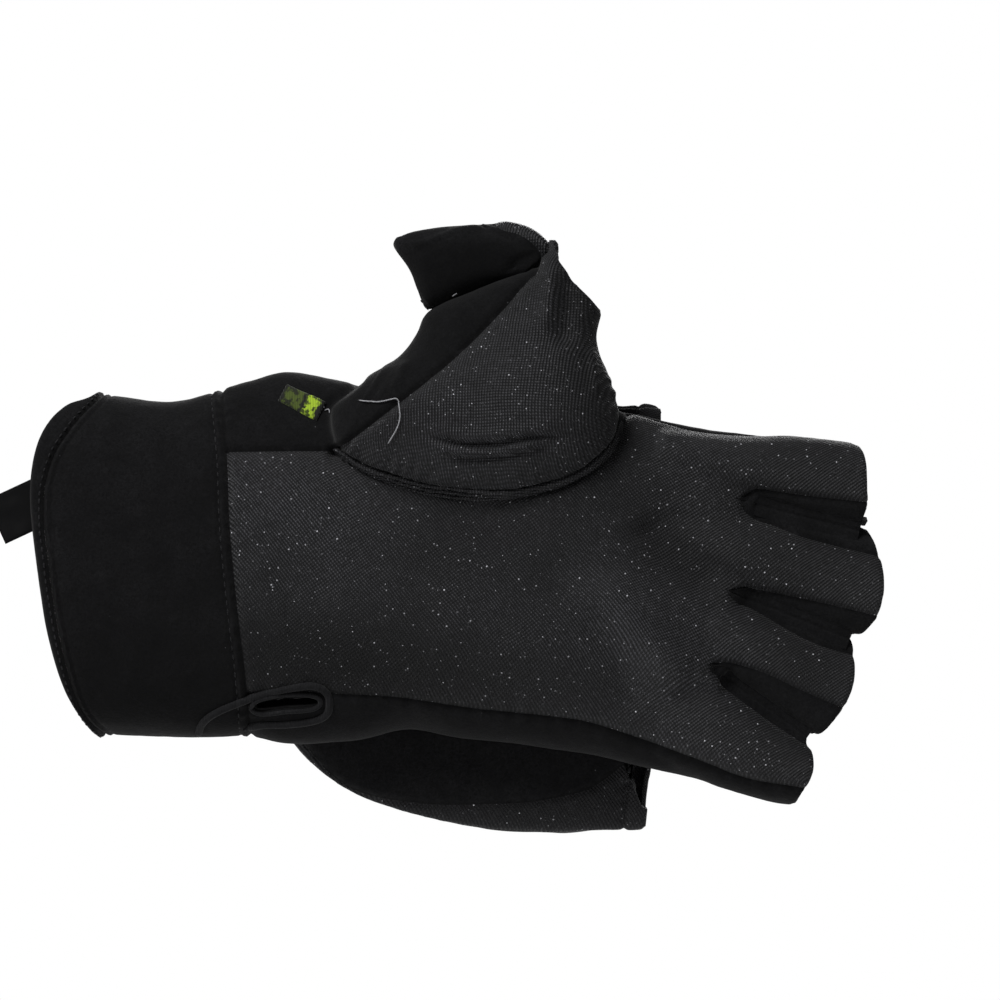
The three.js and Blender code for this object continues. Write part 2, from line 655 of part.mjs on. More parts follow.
const twill = material(0x2b2b2e, 0.62);
const fleece = material(0x141416, 0.95);
const binding = material(0x18181a, 0.85);
addPiece("cuff_band", cuffBand, fleece);
addPiece("cuff_hem", cuffHem, binding);
addPiece("palm_panel", palmPanel, twill);
addPiece("back_panel", backPanel, fleece);
gussets.forEach((gusset) => {
  addPiece(gusset.name, body.intersect(gusset.region), fleece);
});
addPiece("thumb_panel", thumbPanel, twill);
addPiece("thumb_back", thumbBack, fleece);
addPiece("thumb_cap", cap, fleece);
addPiece("thumb_seam", thumbRoll, binding);
addPiece("slit_binding", slitEdge, binding);
addPiece("hood_back_panel", hoodSkin.intersect(hoodFrontRegion).subtract(hoodHemAndSeam), fleece);
addPiece("hood_palm_panel", hoodSkin.subtract(hoodFrontAndSeam).subtract(hoodHemAndSeam), twill);
addPiece("hood_hem", hoodSkin.intersect(hoodHemRegion), binding);
addPiece("thumb_side_patch", patch, material(0x7f9a1e, 0.7));
addPiece("wrist_label", label, binding);

export default glove;
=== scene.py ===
import math

import bmesh
import bpy
import numpy as np
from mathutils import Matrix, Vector, noise
from mathutils.bvhtree import BVHTree


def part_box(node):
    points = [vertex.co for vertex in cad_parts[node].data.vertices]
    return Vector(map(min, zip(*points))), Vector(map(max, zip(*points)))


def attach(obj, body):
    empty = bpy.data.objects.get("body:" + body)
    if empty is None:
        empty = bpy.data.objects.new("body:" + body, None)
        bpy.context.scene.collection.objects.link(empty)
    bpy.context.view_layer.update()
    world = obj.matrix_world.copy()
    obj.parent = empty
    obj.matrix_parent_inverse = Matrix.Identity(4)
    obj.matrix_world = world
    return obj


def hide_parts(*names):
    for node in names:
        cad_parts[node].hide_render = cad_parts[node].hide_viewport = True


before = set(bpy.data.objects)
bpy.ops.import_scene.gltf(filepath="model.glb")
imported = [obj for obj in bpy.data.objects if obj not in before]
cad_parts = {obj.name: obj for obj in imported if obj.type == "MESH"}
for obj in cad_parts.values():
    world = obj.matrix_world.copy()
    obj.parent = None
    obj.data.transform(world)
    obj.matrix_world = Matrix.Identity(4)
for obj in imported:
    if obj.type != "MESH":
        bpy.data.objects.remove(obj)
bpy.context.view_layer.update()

# Dressing of the convertible fishing glove. Lengths are millimetres until a mesh is made of them.
print("frame loaded")

# Camera level with the glove, palm towards it
camera = {"at": (0.1278, -1.3, 0.01806), "lens": 168.5, "sensor": 36.0}
cameraData = bpy.data.cameras.new("camera")
cameraData.lens = camera["lens"]
cameraData.sensor_width = camera["sensor"]
cameraObject = bpy.data.objects.new("camera", cameraData)
cameraObject.location = camera["at"]
cameraObject.rotation_euler = (math.pi / 2, 0, 0)
bpy.context.scene.collection.objects.link(cameraObject)
bpy.context.scene.camera = cameraObject

# The glove's own sizes and section tables, the same as the solid model has
size = {
    "cuffLength": 54.0,
    "handLength": 179.0,
    "palmWidth": 96.6,
    "gloveDepth": 44.0,
    "stallDepth": 25.0,
    "hoodDepth": 36.0,
    "capDepth": 15.0,
    "capMiddle": -0.3,
    "trunkSquare": 2.5,
    "limbSquare": 2.3,
}
# at, slant, top, low, palm, back, edge
cuffSections = [
    (-0.24, 0, 0.511, -0.505, -0.47, 0.67, 0.1),
    (0, 0, 0.506, -0.5, -0.48, 0.64, 0.09),
    (0.31, 0, 0.491, -0.489, -0.5, 0.6, 0.07),
    (0.67, 0, 0.468, -0.494, -0.5, 0.56, 0.04),
    (0.9, 0, 0.497, -0.496, -0.485, 0.53, 0.02),
]
handSections = [
    (0.03, 0, 0.531, -0.493, -0.47, 0.51, 0),
    (0.09, 0, 0.555, -0.515, -0.46, 0.5, 0),
    (0.19, 0, 0.52, -0.506, -0.455, 0.48, 0),
    (0.33, 0, 0.48, -0.494, -0.45, 0.48, 0),
    (0.47, 0, 0.463, -0.523, -0.45, 0.48, 0),
    (0.58, 0.02, 0.445, -0.552, -0.43, 0.46, 0),
    (0.67, 0.06, 0.4, -0.583, -0.37, 0.41, 0),
    (0.776, 0.107, 0.368, -0.62, -0.26, 0.27, 0),
]
# at, up, long, wide, turn, rise
palmForms = [
    (0.1, 0.16, 0.13, 0.19, 0, 0.035),
    (0.36, -0.2, 0.24, 0.13, -6, 0.04),
    (0.44, 0.06, 0.16, 0.1, -20, -0.035),
    (0.7, 0.06, 0.1, 0.08, -45, -0.05),
    (0.64, -0.2, 0.16, 0.08, -42, 0.05),
    (0.66, 0.28, 0.11, 0.09, -10, 0.035),
]
# at, palm, back, and the five lines that bound the stalls
stallSections = [
    (0.659, -0.56, 0.5, 0.405, 0.244, 0.003, -0.184, -0.575),
    (0.791, -0.54, 0.46, 0.376, 0.182, -0.093, -0.362, -0.667),
    (0.876, -0.56, 0.38, 0.372, 0.141, -0.155, -0.477, -0.695),
    (1.031, -0.6, 0.26, 0.333, 0.069, -0.27, -0.687, -0.71),
]
# up, left, right, palm, back
thumbSections = [
    (0.187, 0.341, 0.426, -0.45, 0),
    (0.21, 0.29, 0.478, -0.5, 0),
    (0.244, 0.228, 0.522, -0.56, 0),
    (0.302, 0.171, 0.568, -0.63, 0),
    (0.359, 0.146, 0.591, -0.69, 0.02),
    (0.445, 0.15, 0.594, -0.73, 0.06),
    (0.526, 0.197, 0.583, -0.72, 0.09),
    (0.598, 0.257, 0.567, -0.68, 0.07),
    (0.661, 0.284, 0.561, -0.64, 0.04),
    (0.727, 0.304, 0.569, -0.6, 0),
    (0.79, 0.377, 0.574, -0.57, -0.07),
    (0.842, 0.452, 0.575, -0.54, -0.1),
    (0.882, 0.479, 0.575, -0.52, -0.12),
    (0.96, 0.485, 0.578, -0.5, -0.12),
]
# at, top, low, palm, back, edge
hoodSections = [
    (0.02, 0.129, -0.22, 0.5, 0.66, 0.58),
    (0.033, 0.244, -0.336, 0.42, 0.7, 0.54),
    (0.058, 0.345, -0.45, 0.3, 0.74, 0.48),
    (0.097, 0.402, -0.553, 0.22, 0.79, 0.42),
    (0.16, 0.44, -0.647, 0.16, 0.84, 0.36),
    (0.256, 0.457, -0.718, 0.12, 0.9, 0.32),
    (0.38, 0.463, -0.765, 0.1, 0.96, 0.31),
    (0.504, 0.463, -0.777, 0.1, 1, 0.31),
    (0.645, 0.463, -0.768, 0.12, 1, 0.33),
]
# topAt, top, lowAt, low, front, back
capSections = [
    (0.245, 0.92, 0.299, 0.727, -0.2, 0.2),
    (0.271, 0.945, 0.309, 0.733, -0.38, 0.36),
    (0.31, 0.963, 0.335, 0.755, -0.45, 0.45),
    (0.357, 0.971, 0.378, 0.782, -0.5, 0.5),
    (0.411, 0.974, 0.42, 0.805, -0.5, 0.5),
    (0.462, 0.95, 0.455, 0.835, -0.46, 0.42),
    (0.489, 0.918, 0.478, 0.865, -0.34, 0.25),
]

# Seams and cut edges as (at, up) shares. The wrist edge's at is a share of the cuff's length.
seams = {
    "wrist": [(0.35, 0.56), (0.285, 0.492), (0.15, 0.463), (0.055, 0.405), (0, 0.316), (-0.015, 0.187),
              (0.02, 0), (0.075, -0.2), (0.155, -0.359), (0.26, -0.468), (0.37, -0.56)],
    "cuff": [(-0.02, 0.62), (-0.02, 0.517), (-0.006, 0.316), (0, 0.1), (0.01, -0.101), (0.024, -0.359),
             (0.026, -0.6)],
    "strip": [(-0.03, 0.325), (0.147, 0.328), (0.157, 0.32)],
    "thumb": [(0.157, 0.32), (0.205, 0.272), (0.256, 0.236), (0.302, 0.213), (0.349, 0.202), (0.388, 0.198),
              (0.426, 0.201), (0.466, 0.212), (0.504, 0.23), (0.537, 0.258), (0.566, 0.296), (0.589, 0.338),
              (0.605, 0.4), (0.62, 0.55)],
    "thumbSide": [(0.157, 0.32), (0.209, 0.388), (0.268, 0.474), (0.322, 0.558), (0.37, 0.638), (0.417, 0.726),
                  (0.44, 0.78), (0.457, 0.82), (0.47, 0.87), (0.472, 1.2)],
    "crease": [(0.157, 0.32), (0.147, 0.45), (0.197, 0.53), (0.2, 0.64)],
    "rootBack": [(0.197, 0.53), (0.4, 0.47), (0.59, 0.45), (0.66, 0.45)],
    "mouth": [(0.44, 1.2), (0.44, 0.945), (0.488, 0.925), (0.503, 0.86), (0.527, 0.802), (0.569, 0.724), (0.6, 0.68)],
    "low": [(-0.03, -0.375), (0.085, -0.36), (0.155, -0.365), (0.256, -0.379), (0.364, -0.408), (0.504, -0.434),
            (0.566, -0.457), (0.634, -0.5), (0.716, -0.557), (0.784, -0.609), (0.87, -0.635), (0.95, -0.66)],
    "slit": [(0.03, -0.407), (0.06, -0.397), (0.09, -0.39), (0.138, -0.388)],
}
gussets = {
    "gusset_index_middle": [(0.785, 0.184), (0.8, 0.213), (0.82, 0.21), (0.907, 0.191), (0.972, 0.178),
                            (1.06, 0.16), (1.06, 0), (0.989, 0.034), (0.938, 0.057), (0.884, 0.08),
                            (0.839, 0.115), (0.79, 0.145)],
    "gusset_middle_ring": [(0.768, -0.078), (0.785, -0.072), (0.82, -0.078), (0.884, -0.101), (0.93, -0.118),
                           (0.98, -0.141), (1.06, -0.18), (1.06, -0.29), (0.952, -0.25), (0.912, -0.23),
                           (0.874, -0.201), (0.825, -0.147), (0.78, -0.101)],
    "gusset_ring_little": [(0.734, -0.284), (0.755, -0.275), (0.771, -0.282), (0.82, -0.306), (0.874, -0.356),
                           (0.93, -0.399), (1.04, -0.48), (1.04, -0.66), (0.884, -0.503), (0.839, -0.455),
                           (0.794, -0.397), (0.757, -0.339)],
}


def alongHand(share):
    return size["cuffLength"] + share * size["handLength"]


def alongCuff(share):
    return share * size["cuffLength"]


def placed(line, along=alongHand, shift=0.0):
    return np.array([(along(at) + shift, up * size["palmWidth"]) for at, up in line])


def between(a, b, c, d, t):
    return b + 0.5 * ((c - a) * t + (2 * a - 5 * b + 4 * c - d) * t * t + (3 * b - a - 3 * c + d) * t ** 3)


def filled(rows, steps):
    # Rows between those of a table, on a smooth curve through them
    rows = np.array(rows, float)
    last = len(rows) - 1
    out = []
    for i in range(last):
        a, b, c, d = rows[max(i - 1, 0)], rows[i], rows[i + 1], rows[min(i + 2, last)]
        out += [between(a, b, c, d, step / steps) for step in range(steps)]
    return np.array(out + [rows[last]])


def resampled(points, step):
    # Points at equal steps along a line
    points = np.asarray(points, float)
    reach = np.concatenate([[0], np.cumsum(np.linalg.norm(np.diff(points, axis=0), axis=1))])
    count = max(int(round(reach[-1] / step)), 2)
    at = np.linspace(0, reach[-1], count + 1)
    return np.stack([np.interp(at, reach, points[:, k]) for k in range(points.shape[1])], 1)


def smoothLine(points, step=1.0):
    return resampled(filled(points, 12), step)


def ringPoints(x1, z1, x2, z2, palm, back, edge, square, sides):
    turn = np.arange(sides) * 2 * math.pi / sides
    def rounded(v):
        return np.sign(v) * np.abs(v) ** (2 / square)
    across, depth = rounded(np.cos(turn)), rounded(np.sin(turn))
    x = (x1 + x2) / 2 + (x1 - x2) / 2 * across
    z = (z1 + z2) / 2 + (z1 - z2) / 2 * across
    y = edge + np.where(depth < 0, edge - palm, back - edge) * depth
    return np.stack([x, y, z], 1), depth


def loftFaces(rows, sides):
    i = np.arange(rows - 1)[:, None] * sides
    k = np.arange(sides)[None, :]
    a, b = i + k, i + (k + 1) % sides
    c, d = b + sides, a + sides
    quads = np.stack([a, b, c, d], -1).reshape(-1, 4)
    return np.concatenate([quads[:, [0, 1, 2]], quads[:, [0, 2, 3]]])


def closedLoft(rings):
    sides = len(rings[0])
    co = np.concatenate(rings + [rings[0].mean(0)[None], rings[-1].mean(0)[None]])
    k = np.arange(sides)
    n = (k + 1) % sides
    first, last = len(co) - 2, len(co) - 1
    base = (len(rings) - 1) * sides
    start = np.stack([n, k, np.full(sides, first)], 1)
    end = np.stack([base + k, base + n, np.full(sides, last)], 1)
    faces = np.concatenate([loftFaces(len(rings), sides), start, end])
    if signedVolume(co, faces) < 0:
        faces = faces[:, ::-1]
    return co, faces


def signedVolume(co, faces):
    a, b, c = co[faces[:, 0]], co[faces[:, 1]], co[faces[:, 2]]
    return float(np.einsum("ij,ij->i", a, np.cross(b, c)).sum() / 6)


def vertexNormals(co, faces):
    a, b, c = co[faces[:, 0]], co[faces[:, 1]], co[faces[:, 2]]
    face = np.cross(b - a, c - a)
    total = np.zeros_like(co)
    for corner in range(3):
        for axis in range(3):
            total[:, axis] += np.bincount(faces[:, corner], face[:, axis], len(co))
    return total / np.maximum(np.linalg.norm(total, axis=1), 1e-12)[:, None]


def uniqueEdges(faces):
    pairs = np.concatenate([faces[:, [0, 1]], faces[:, [1, 2]], faces[:, [2, 0]]])
    return np.unique(np.sort(pairs, 1), axis=0)


def relaxed(values, edges, times, share, fixed=None):
    # Moves each point's values towards the mean of its neighbours
    values = np.array(values, float)
    flat = values.reshape(len(values), -1)
    degree = np.bincount(edges.ravel(), minlength=len(values)).astype(float)
    degree[degree == 0] = 1
    for _ in range(times):
        for column in range(flat.shape[1]):
            v = flat[:, column]
            near = np.bincount(edges[:, 0], v[edges[:, 1]], len(v)) + np.bincount(edges[:, 1], v[edges[:, 0]], len(v))
            moved = v + share * (near / degree - v)
            flat[:, column] = moved if fixed is None else np.where(fixed, v, moved)
    return flat.reshape(values.shape)


def lineField(co, line):
    # Signed distance to a line as the palm side shows it, and the place along it. The distance is
    # positive on the right of a line that runs down.
    x, z = co[:, 0], co[:, 2]
    best = np.full(len(co), 1e18)
    signed = np.zeros(len(co))
    place = np.zeros(len(co))
    start = 0.0
    for (ax, az), (bx, bz) in zip(line[:-1], line[1:]):
        dx, dz = bx - ax, bz - az
        length = math.hypot(dx, dz) or 1e-9
        t = np.clip(((x - ax) * dx + (z - az) * dz) / length ** 2, 0, 1)
        gap = np.hypot(x - ax - t * dx, z - az - t * dz)
        side = (dx * (z - az) - dz * (x - ax)) / length
        score = gap - 1e-3 * np.abs(side)
        nearer = score < best
        best = np.where(nearer, score, best)
        signed = np.where(nearer, np.where(side < 0, -gap, gap), signed)
        place = np.where(nearer, start + t * length, place)
        start += length
    return signed, place


def outlineField(co, outline):
    # Signed distance to a closed outline, positive inside
    closed = np.concatenate([outline, outline[:1]])
    gap = np.abs(lineField(co, closed)[0])
    x, z = co[:, 0], co[:, 2]
    inside = np.zeros(len(co), bool)
    for (ax, az), (bx, bz) in zip(closed[:-1], closed[1:]):
        if az == bz:
            continue
        crosses = (az > z) != (bz > z)
        inside ^= crosses & (x < (bx - ax) * (z - az) / (bz - az) + ax)
    return np.where(inside, gap, -gap)


def bell(value, width):
    return np.exp(-(value / width) ** 2)


def smoothStep(value, low, high):
    t = np.clip((value - low) / (high - low), 0, 1)
    return t * t * (3 - 2 * t)


def unevenness(co, scale, seed):
    shift = Vector((seed * 17.3, seed * 5.1, seed * 11.7))
    return np.array([noise.noise(Vector(p) * scale + shift) for p in co.tolist()])


def splitAt(mesh, values, snap=0.04):
    # Cuts the triangles of a mesh where values pass through nought, and returns the values with the new points.
    # A jump bigger than any triangle is where a line ends, not a crossing.
    co, faces, fields = mesh["co"], mesh["faces"], mesh["fields"]
    values = np.where(np.abs(values) < snap, 0.0, values)
    sign = np.sign(values).astype(int)
    s = sign[faces]
    crossing = (s.min(1) < 0) & (s.max(1) > 0) & (np.abs(values[faces]).max(1) < 3.5)
    keep = faces[~crossing]
    cut = faces[crossing]
    if not len(cut):
        return values
    sc = sign[cut]
    zeroCount = (sc == 0).sum(1)
    odd = np.zeros(len(cut), int)
    for k in range(3):
        alone = (zeroCount == 0) & (sc[:, k] != sc[:, (k + 1) % 3]) & (sc[:, k] != sc[:, (k + 2) % 3])
        odd = np.where(alone | ((zeroCount == 1) & (sc[:, k] == 0)), k, odd)
    rows = np.arange(len(cut))
    a, b, c = cut[rows, odd], cut[rows, (odd + 1) % 3], cut[rows, (odd + 2) % 3]
    two = zeroCount == 0
    pairs = np.concatenate([np.stack([a[two], b[two]], 1), np.stack([a[two], c[two]], 1),
                            np.stack([b[~two], c[~two]], 1)])
    ordered = np.sort(pairs, 1)
    edges, index = np.unique(ordered, axis=0, return_inverse=True)
    index = index.reshape(-1)
    v0, v1 = values[edges[:, 0]], values[edges[:, 1]]
    t = (v0 / (v0 - v1))
    count = len(co)
    mesh["co"] = np.concatenate([co, co[edges[:, 0]] * (1 - t)[:, None] + co[edges[:, 1]] * t[:, None]])
    for name, field in fields.items():
        shaped = t if field.ndim == 1 else t[:, None]
        fields[name] = np.concatenate([field, field[edges[:, 0]] * (1 - shaped) + field[edges[:, 1]] * shaped])
    n = int(two.sum())
    ab, ac, bc = count + index[:n], count + index[n:2 * n], count + index[2 * n:]
    a2, b2, c2 = a[two], b[two], c[two]
    a1, b1, c1 = a[~two], b[~two], c[~two]
    mesh["faces"] = np.concatenate([
        keep,
        np.stack([a2, ab, ac], 1), np.stack([ab, b2, c2], 1), np.stack([ab, c2, ac], 1),
        np.stack([a1, b1, bc], 1), np.stack([a1, bc, c1], 1),
    ])
    return np.concatenate([values, np.zeros(len(edges))])


def cutAt(mesh, name, offset=0.0):
    splitAt(mesh, mesh["fields"][name] - offset)


def onFaces(mesh, name):
    return mesh["fields"][name][mesh["faces"]].mean(1)


def partOf(mesh, chosen):
    # The chosen faces as a mesh of their own, without crumbs
    faces = mesh["faces"][chosen]
    a, b, c = (mesh["co"][faces[:, k]] for k in range(3))
    area = np.linalg.norm(np.cross(b - a, c - a), axis=1)
    faces = faces[area > 1e-7]
    faces = faces[biggestBody(faces)]
    used = np.unique(faces)
    index = np.full(len(mesh["co"]), -1)
    index[used] = np.arange(len(used))
    return {
        "co": mesh["co"][used],
        "faces": index[faces],
        "fields": {name: field[used] for name, field in mesh["fields"].items()},
    }


def biggestBody(faces):
    # Marks the faces that join the largest body
    used, flat = np.unique(faces, return_inverse=True)
    local = flat.reshape(faces.shape)
    label = np.arange(len(used))
    while True:
        lowest = label[local].min(1)
        new = label.copy()
        for k in range(3):
            np.minimum.at(new, local[:, k], lowest)
        new = new[new]
        if (new == label).all():
            break
        label = new
    body = label[local[:, 0]]
    names, counts = np.unique(body, return_counts=True)
    return body == names[counts.argmax()]


def withoutCrumbs(mesh, picks):
    # Small islands of a panel go to the panel round them
    faces = mesh["faces"]
    owner = np.full(len(faces), -1)
    loose = np.zeros(len(faces), bool)
    for index, chosen in enumerate(picks.values()):
        rows = np.flatnonzero(chosen)
        big = biggestBody(faces[rows])
        owner[rows[big]] = index
        loose[rows[~big]] = True
    for _ in range(12):
        held = owner >= 0
        around = np.full(len(mesh["co"]), -1)
        around[faces[held].ravel()] = np.repeat(owner[held], 3)
        owner = np.where(loose & ~held, around[faces].max(1), owner)
    return {name: owner == index for index, name in enumerate(picks)}


def openEdges(faces):
    directed = np.concatenate([faces[:, [0, 1]], faces[:, [1, 2]], faces[:, [2, 0]]]).astype(np.int64)
    top = int(faces.max()) + 1
    code = directed[:, 0] * top + directed[:, 1]
    reverse = directed[:, 1] * top + directed[:, 0]
    return directed[~np.isin(code, reverse)]


seamRoom = 0.001  # between the cut edge of a panel and its seam


def shell(mesh, wall, lip=0.0, lipAt=None, soften=6):
    # Gives a skin its thickness, inwards, and closes its edges. lip rounds the free edges that lipAt marks.
    co, faces = mesh["co"], mesh["faces"]
    edges = uniqueEdges(faces)
    normals = vertexNormals(co, faces)
    soft = relaxed(normals, edges, soften, 0.6)
    soft /= np.maximum(np.linalg.norm(soft, axis=1), 1e-9)[:, None]
    inner = co - soft * wall
    count = len(co)
    border = openEdges(faces)
    out = np.zeros_like(co)
    run = co[border[:, 1]] - co[border[:, 0]]
    side = np.cross(run, normals[border[:, 0]])
    for k in (0, 1):
        np.add.at(out, border[:, k], side)
    out /= np.maximum(np.linalg.norm(out, axis=1), 1e-9)[:, None]
    rim = np.unique(border)
    co, inner = co.copy(), inner.copy()
    co[rim] -= out[rim] * seamRoom
    inner[rim] -= out[rim] * seamRoom
    middle = np.full(count, -1)
    middle[rim] = 2 * count + np.arange(len(rim))
    push = np.full(len(rim), 0.0)
    if lipAt is not None:
        push = lip * lipAt[rim]
    rimCo = (co[rim] + inner[rim]) / 2 + out[rim] * push[:, None]
    a, b = border[:, 0], border[:, 1]
    outerBand = [np.stack([b, a, middle[a]], 1), np.stack([b, middle[a], middle[b]], 1)]
    innerBand = [np.stack([middle[b], middle[a], a + count], 1), np.stack([middle[b], a + count, b + count], 1)]
    allFaces = np.concatenate([faces, faces[:, ::-1] + count] + outerBand + innerBand)
    kind = np.concatenate([np.zeros(len(faces), int), np.ones(len(faces), int), np.zeros(2 * len(border), int),
                           np.ones(2 * len(border), int)])
    fields = {name: np.concatenate([field, field, field[rim]]) for name, field in mesh["fields"].items()}
    return {"co": np.concatenate([co, inner, rimCo]), "faces": allFaces, "fields": fields, "kind": kind}


def meshFrom(name, co, faces, sharp=55):
    data = bpy.data.meshes.new(name)
    faces = np.asarray(faces)
    corners = faces.shape[1]
    data.vertices.add(len(co))
    data.vertices.foreach_set("co", (np.asarray(co) * 0.001).astype(np.float32).ravel())
    data.loops.add(len(faces) * corners)
    data.loops.foreach_set("vertex_index", faces.astype(np.int32).ravel())
    data.polygons.add(len(faces))
    data.polygons.foreach_set("loop_start", np.arange(0, len(faces) * corners, corners, dtype=np.int32))
    data.update(calc_edges=True)
    data.shade_smooth()
    if sharp:
        data.set_sharp_from_angle(angle=math.radians(sharp))
    made = bpy.data.objects.new(name, data)
    bpy.context.scene.collection.objects.link(made)
    return made


def finishPiece(made, nodes=(), materials=(), kind=None, attributes=None):
    for material in materials:
        made.data.materials.append(material)
    if kind is not None:
        made.data.polygons.foreach_set("material_index", np.asarray(kind, np.int32))
    for name, values in (attributes or {}).items():
        layer = made.data.attributes.new(name, "FLOAT", "POINT")
        layer.data.foreach_set("value", np.asarray(values, np.float32))
    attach(made, "root")
    if nodes:
        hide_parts(*nodes)
    print(made.name, len(made.data.vertices), "points", len(made.data.polygons), "faces")
    return made


def castPath(tree, line, side):
    # A line laid on the skin, from the palm side (-1) or the back (1)
    points, normals = [], []
    for x, z in line:
        hit, normal, _, _ = tree.ray_cast(Vector((x, side * 200.0, z)), Vector((0, -side, 0)))
        if hit is not None:
            points.append(hit)
            normals.append(normal)
    return np.array(points), np.array(normals)


def spaced(points, normals, step):
    both = np.concatenate([points, normals], 1)
    reach = np.concatenate([[0], np.cumsum(np.linalg.norm(np.diff(points, axis=0), axis=1))])
    count = max(int(round(reach[-1] / step)), 2)
    at = np.linspace(0, reach[-1], count + 1)
    both = np.stack([np.interp(at, reach, both[:, k]) for k in range(6)], 1)
    out = both[:, 3:] / np.maximum(np.linalg.norm(both[:, 3:], axis=1), 1e-9)[:, None]
    return both[:, :3], out


def pathFrame(points, normals):
    along = np.gradient(points, axis=0)
    along /= np.maximum(np.linalg.norm(along, axis=1), 1e-9)[:, None]
    across = np.cross(along, normals)
    across /= np.maximum(np.linalg.norm(across, axis=1), 1e-9)[:, None]
    return along, across, np.cross(across, along)


def sweep(points, normals, profile, wide=None, high=None):
    # A closed profile of (across, out) swept along a path. wide and high scale it along the way.
    along, across, out = pathFrame(points, normals)
    profile = np.asarray(profile)
    wide = np.ones(len(points)) if wide is None else wide
    high = np.ones(len(points)) if high is None else high
    rings = [points[i] + profile[:, :1] * wide[i] * across[i] + profile[:, 1:] * high[i] * out[i]
             for i in range(len(points))]
    return closedLoft(rings)


def roundProfile(width, height, sides=12, sink=0.0):
    turn = np.arange(sides) * 2 * math.pi / sides
    return np.stack([np.cos(turn) * width / 2, np.sin(turn) * height / 2 + sink], 1)


print("tools ready")


# The hollow form that the panels are cut from
form = {
    "trunkSides": 220,
    "stallSides": 110,
    "thumbSides": 140,
    "voxel": 0.88,
    "smoothing": 5,
    "stallOpen": 2.0,  # room kept between stalls while the form is joined
    "stallShut": 0.16,  # and what is left of it
    "creaseStart": (0.785, 0.77, 0.74),
    "bandRise": 4.0,  # how far the back panel comes round onto the palm side of the index stall
    "dip": 2.3,
    "creaseBulge": 1.6,  # the facing walls of two stalls curve together by this much
}


def palmRise(x, z):
    total = np.zeros_like(x)
    for at, up, long, wide, turn, rise in palmForms:
        lean = math.radians(turn)
        dx, dz = x - alongHand(at), z - up * size["palmWidth"]
        along = (dx * math.cos(lean) + dz * math.sin(lean)) / (long * size["handLength"])
        across = (dz * math.cos(lean) - dx * math.sin(lean)) / (wide * size["palmWidth"])
        total += rise * size["gloveDepth"] * np.exp(-along ** 2 - across ** 2)
    return total


def trunkLoft():
    rows = [(alongCuff(r[0]),) + r[1:] for r in cuffSections] + [(alongHand(r[0]),) + r[1:] for r in handSections]
    width, deep, rings = size["palmWidth"], size["gloveDepth"], []
    for x, slant, top, low, palm, back, edge in filled(rows, 6):
        lean = slant * size["handLength"] / 2
        co, depth = ringPoints(x + lean, top * width, x - lean, low * width, palm * deep, back * deep, edge * deep,
                               size["trunkSquare"], form["trunkSides"])
        co[:, 1] += palmRise(co[:, 0], co[:, 2]) * np.minimum(depth, 0)
        rings.append(co)
    return closedLoft(rings)


def stallLoft(finger):
    width, deep, rings = size["palmWidth"], size["stallDepth"], []
    topGap = form["stallOpen"] / 2 if finger > 0 else 0.3
    lowGap = form["stallOpen"] / 2 if finger < 3 else 0.3
    for row in filled(stallSections, 10):
        x, palm, back = alongHand(row[0]), row[1] * deep, row[2] * deep
        z1, z2 = row[3 + finger] * width - topGap, row[4 + finger] * width + lowGap
        rings.append(ringPoints(x, z1, x, z2, palm, back, (palm + back) / 2, size["limbSquare"], form["stallSides"])[0])
    return closedLoft(rings)


def thumbLoft():
    rings = []
    for up, left, right, palm, back in filled(thumbSections, 5):
        z, palm, back = up * size["palmWidth"], palm * size["gloveDepth"], back * size["gloveDepth"]
        rings.append(ringPoints(alongHand(right), z, alongHand(left), z, palm, back, (palm + back) / 2,
                                size["limbSquare"], form["thumbSides"])[0])
    return closedLoft(rings)


def remeshed(parts, voxel):
    # Joins closed forms into one skin of even triangles
    co = np.concatenate([p[0] for p in parts])
    shift = np.cumsum([0] + [len(p[0]) for p in parts[:-1]])
    faces = np.concatenate([p[1] + s for p, s in zip(parts, shift)])
    work = meshFrom("work", co, faces, sharp=None)
    remesh = work.modifiers.new("join", "REMESH")
    remesh.mode = "VOXEL"
    remesh.voxel_size = voxel * 0.001
    remesh.adaptivity = 0
    graph = bpy.context.evaluated_depsgraph_get()
    data = bpy.data.meshes.new_from_object(work.evaluated_get(graph))
    out = np.zeros(len(data.vertices) * 3, np.float32)
    data.vertices.foreach_get("co", out)
    data.calc_loop_triangles()
    triangles = np.zeros(len(data.loop_triangles) * 3, np.int32)
    data.loop_triangles.foreach_get("vertices", triangles)
    old = work.data
    bpy.data.objects.remove(work)
    bpy.data.meshes.remove(old)
    bpy.data.meshes.remove(data)
    return out.reshape(-1, 3).astype(float) * 1000, triangles.reshape(-1, 3).astype(np.int64)


co, faces = remeshed([trunkLoft(), thumbLoft()] + [stallLoft(k) for k in range(4)], form["voxel"])
skinEdges = uniqueEdges(faces)
for _ in range(form["smoothing"]):
    co = relaxed(co, skinEdges, 1, 0.6)
    co = relaxed(co, skinEdges, 1, -0.62)
co = relaxed(co, skinEdges, 3, 0.5)
print("form joined", len(co), "points")

# The stalls close up against each other
stallRows = filled(stallSections, 10)
for k in range(3):
    crease = np.interp(co[:, 0], alongHand(stallRows[:, 0]), stallRows[:, 4 + k] * size["palmWidth"])
    d = co[:, 2] - crease
    start = alongHand(form["creaseStart"][k])
    opened, shut = form["stallOpen"] / 2, form["stallShut"] / 2
    near = np.where(np.abs(d) < opened, d * (1 - shut / opened),
                    np.sign(d) * (opened - shut) * bell(np.abs(d) - opened, 4.5))
    co[:, 2] -= near * smoothStep(co[:, 0], start - 14, start - 2)

# The lower edge dips where the folded hood presses on it
co[:, 2] += form["dip"] * bell(co[:, 0] - 102, 9) * smoothStep(-co[:, 2], 36, 47)

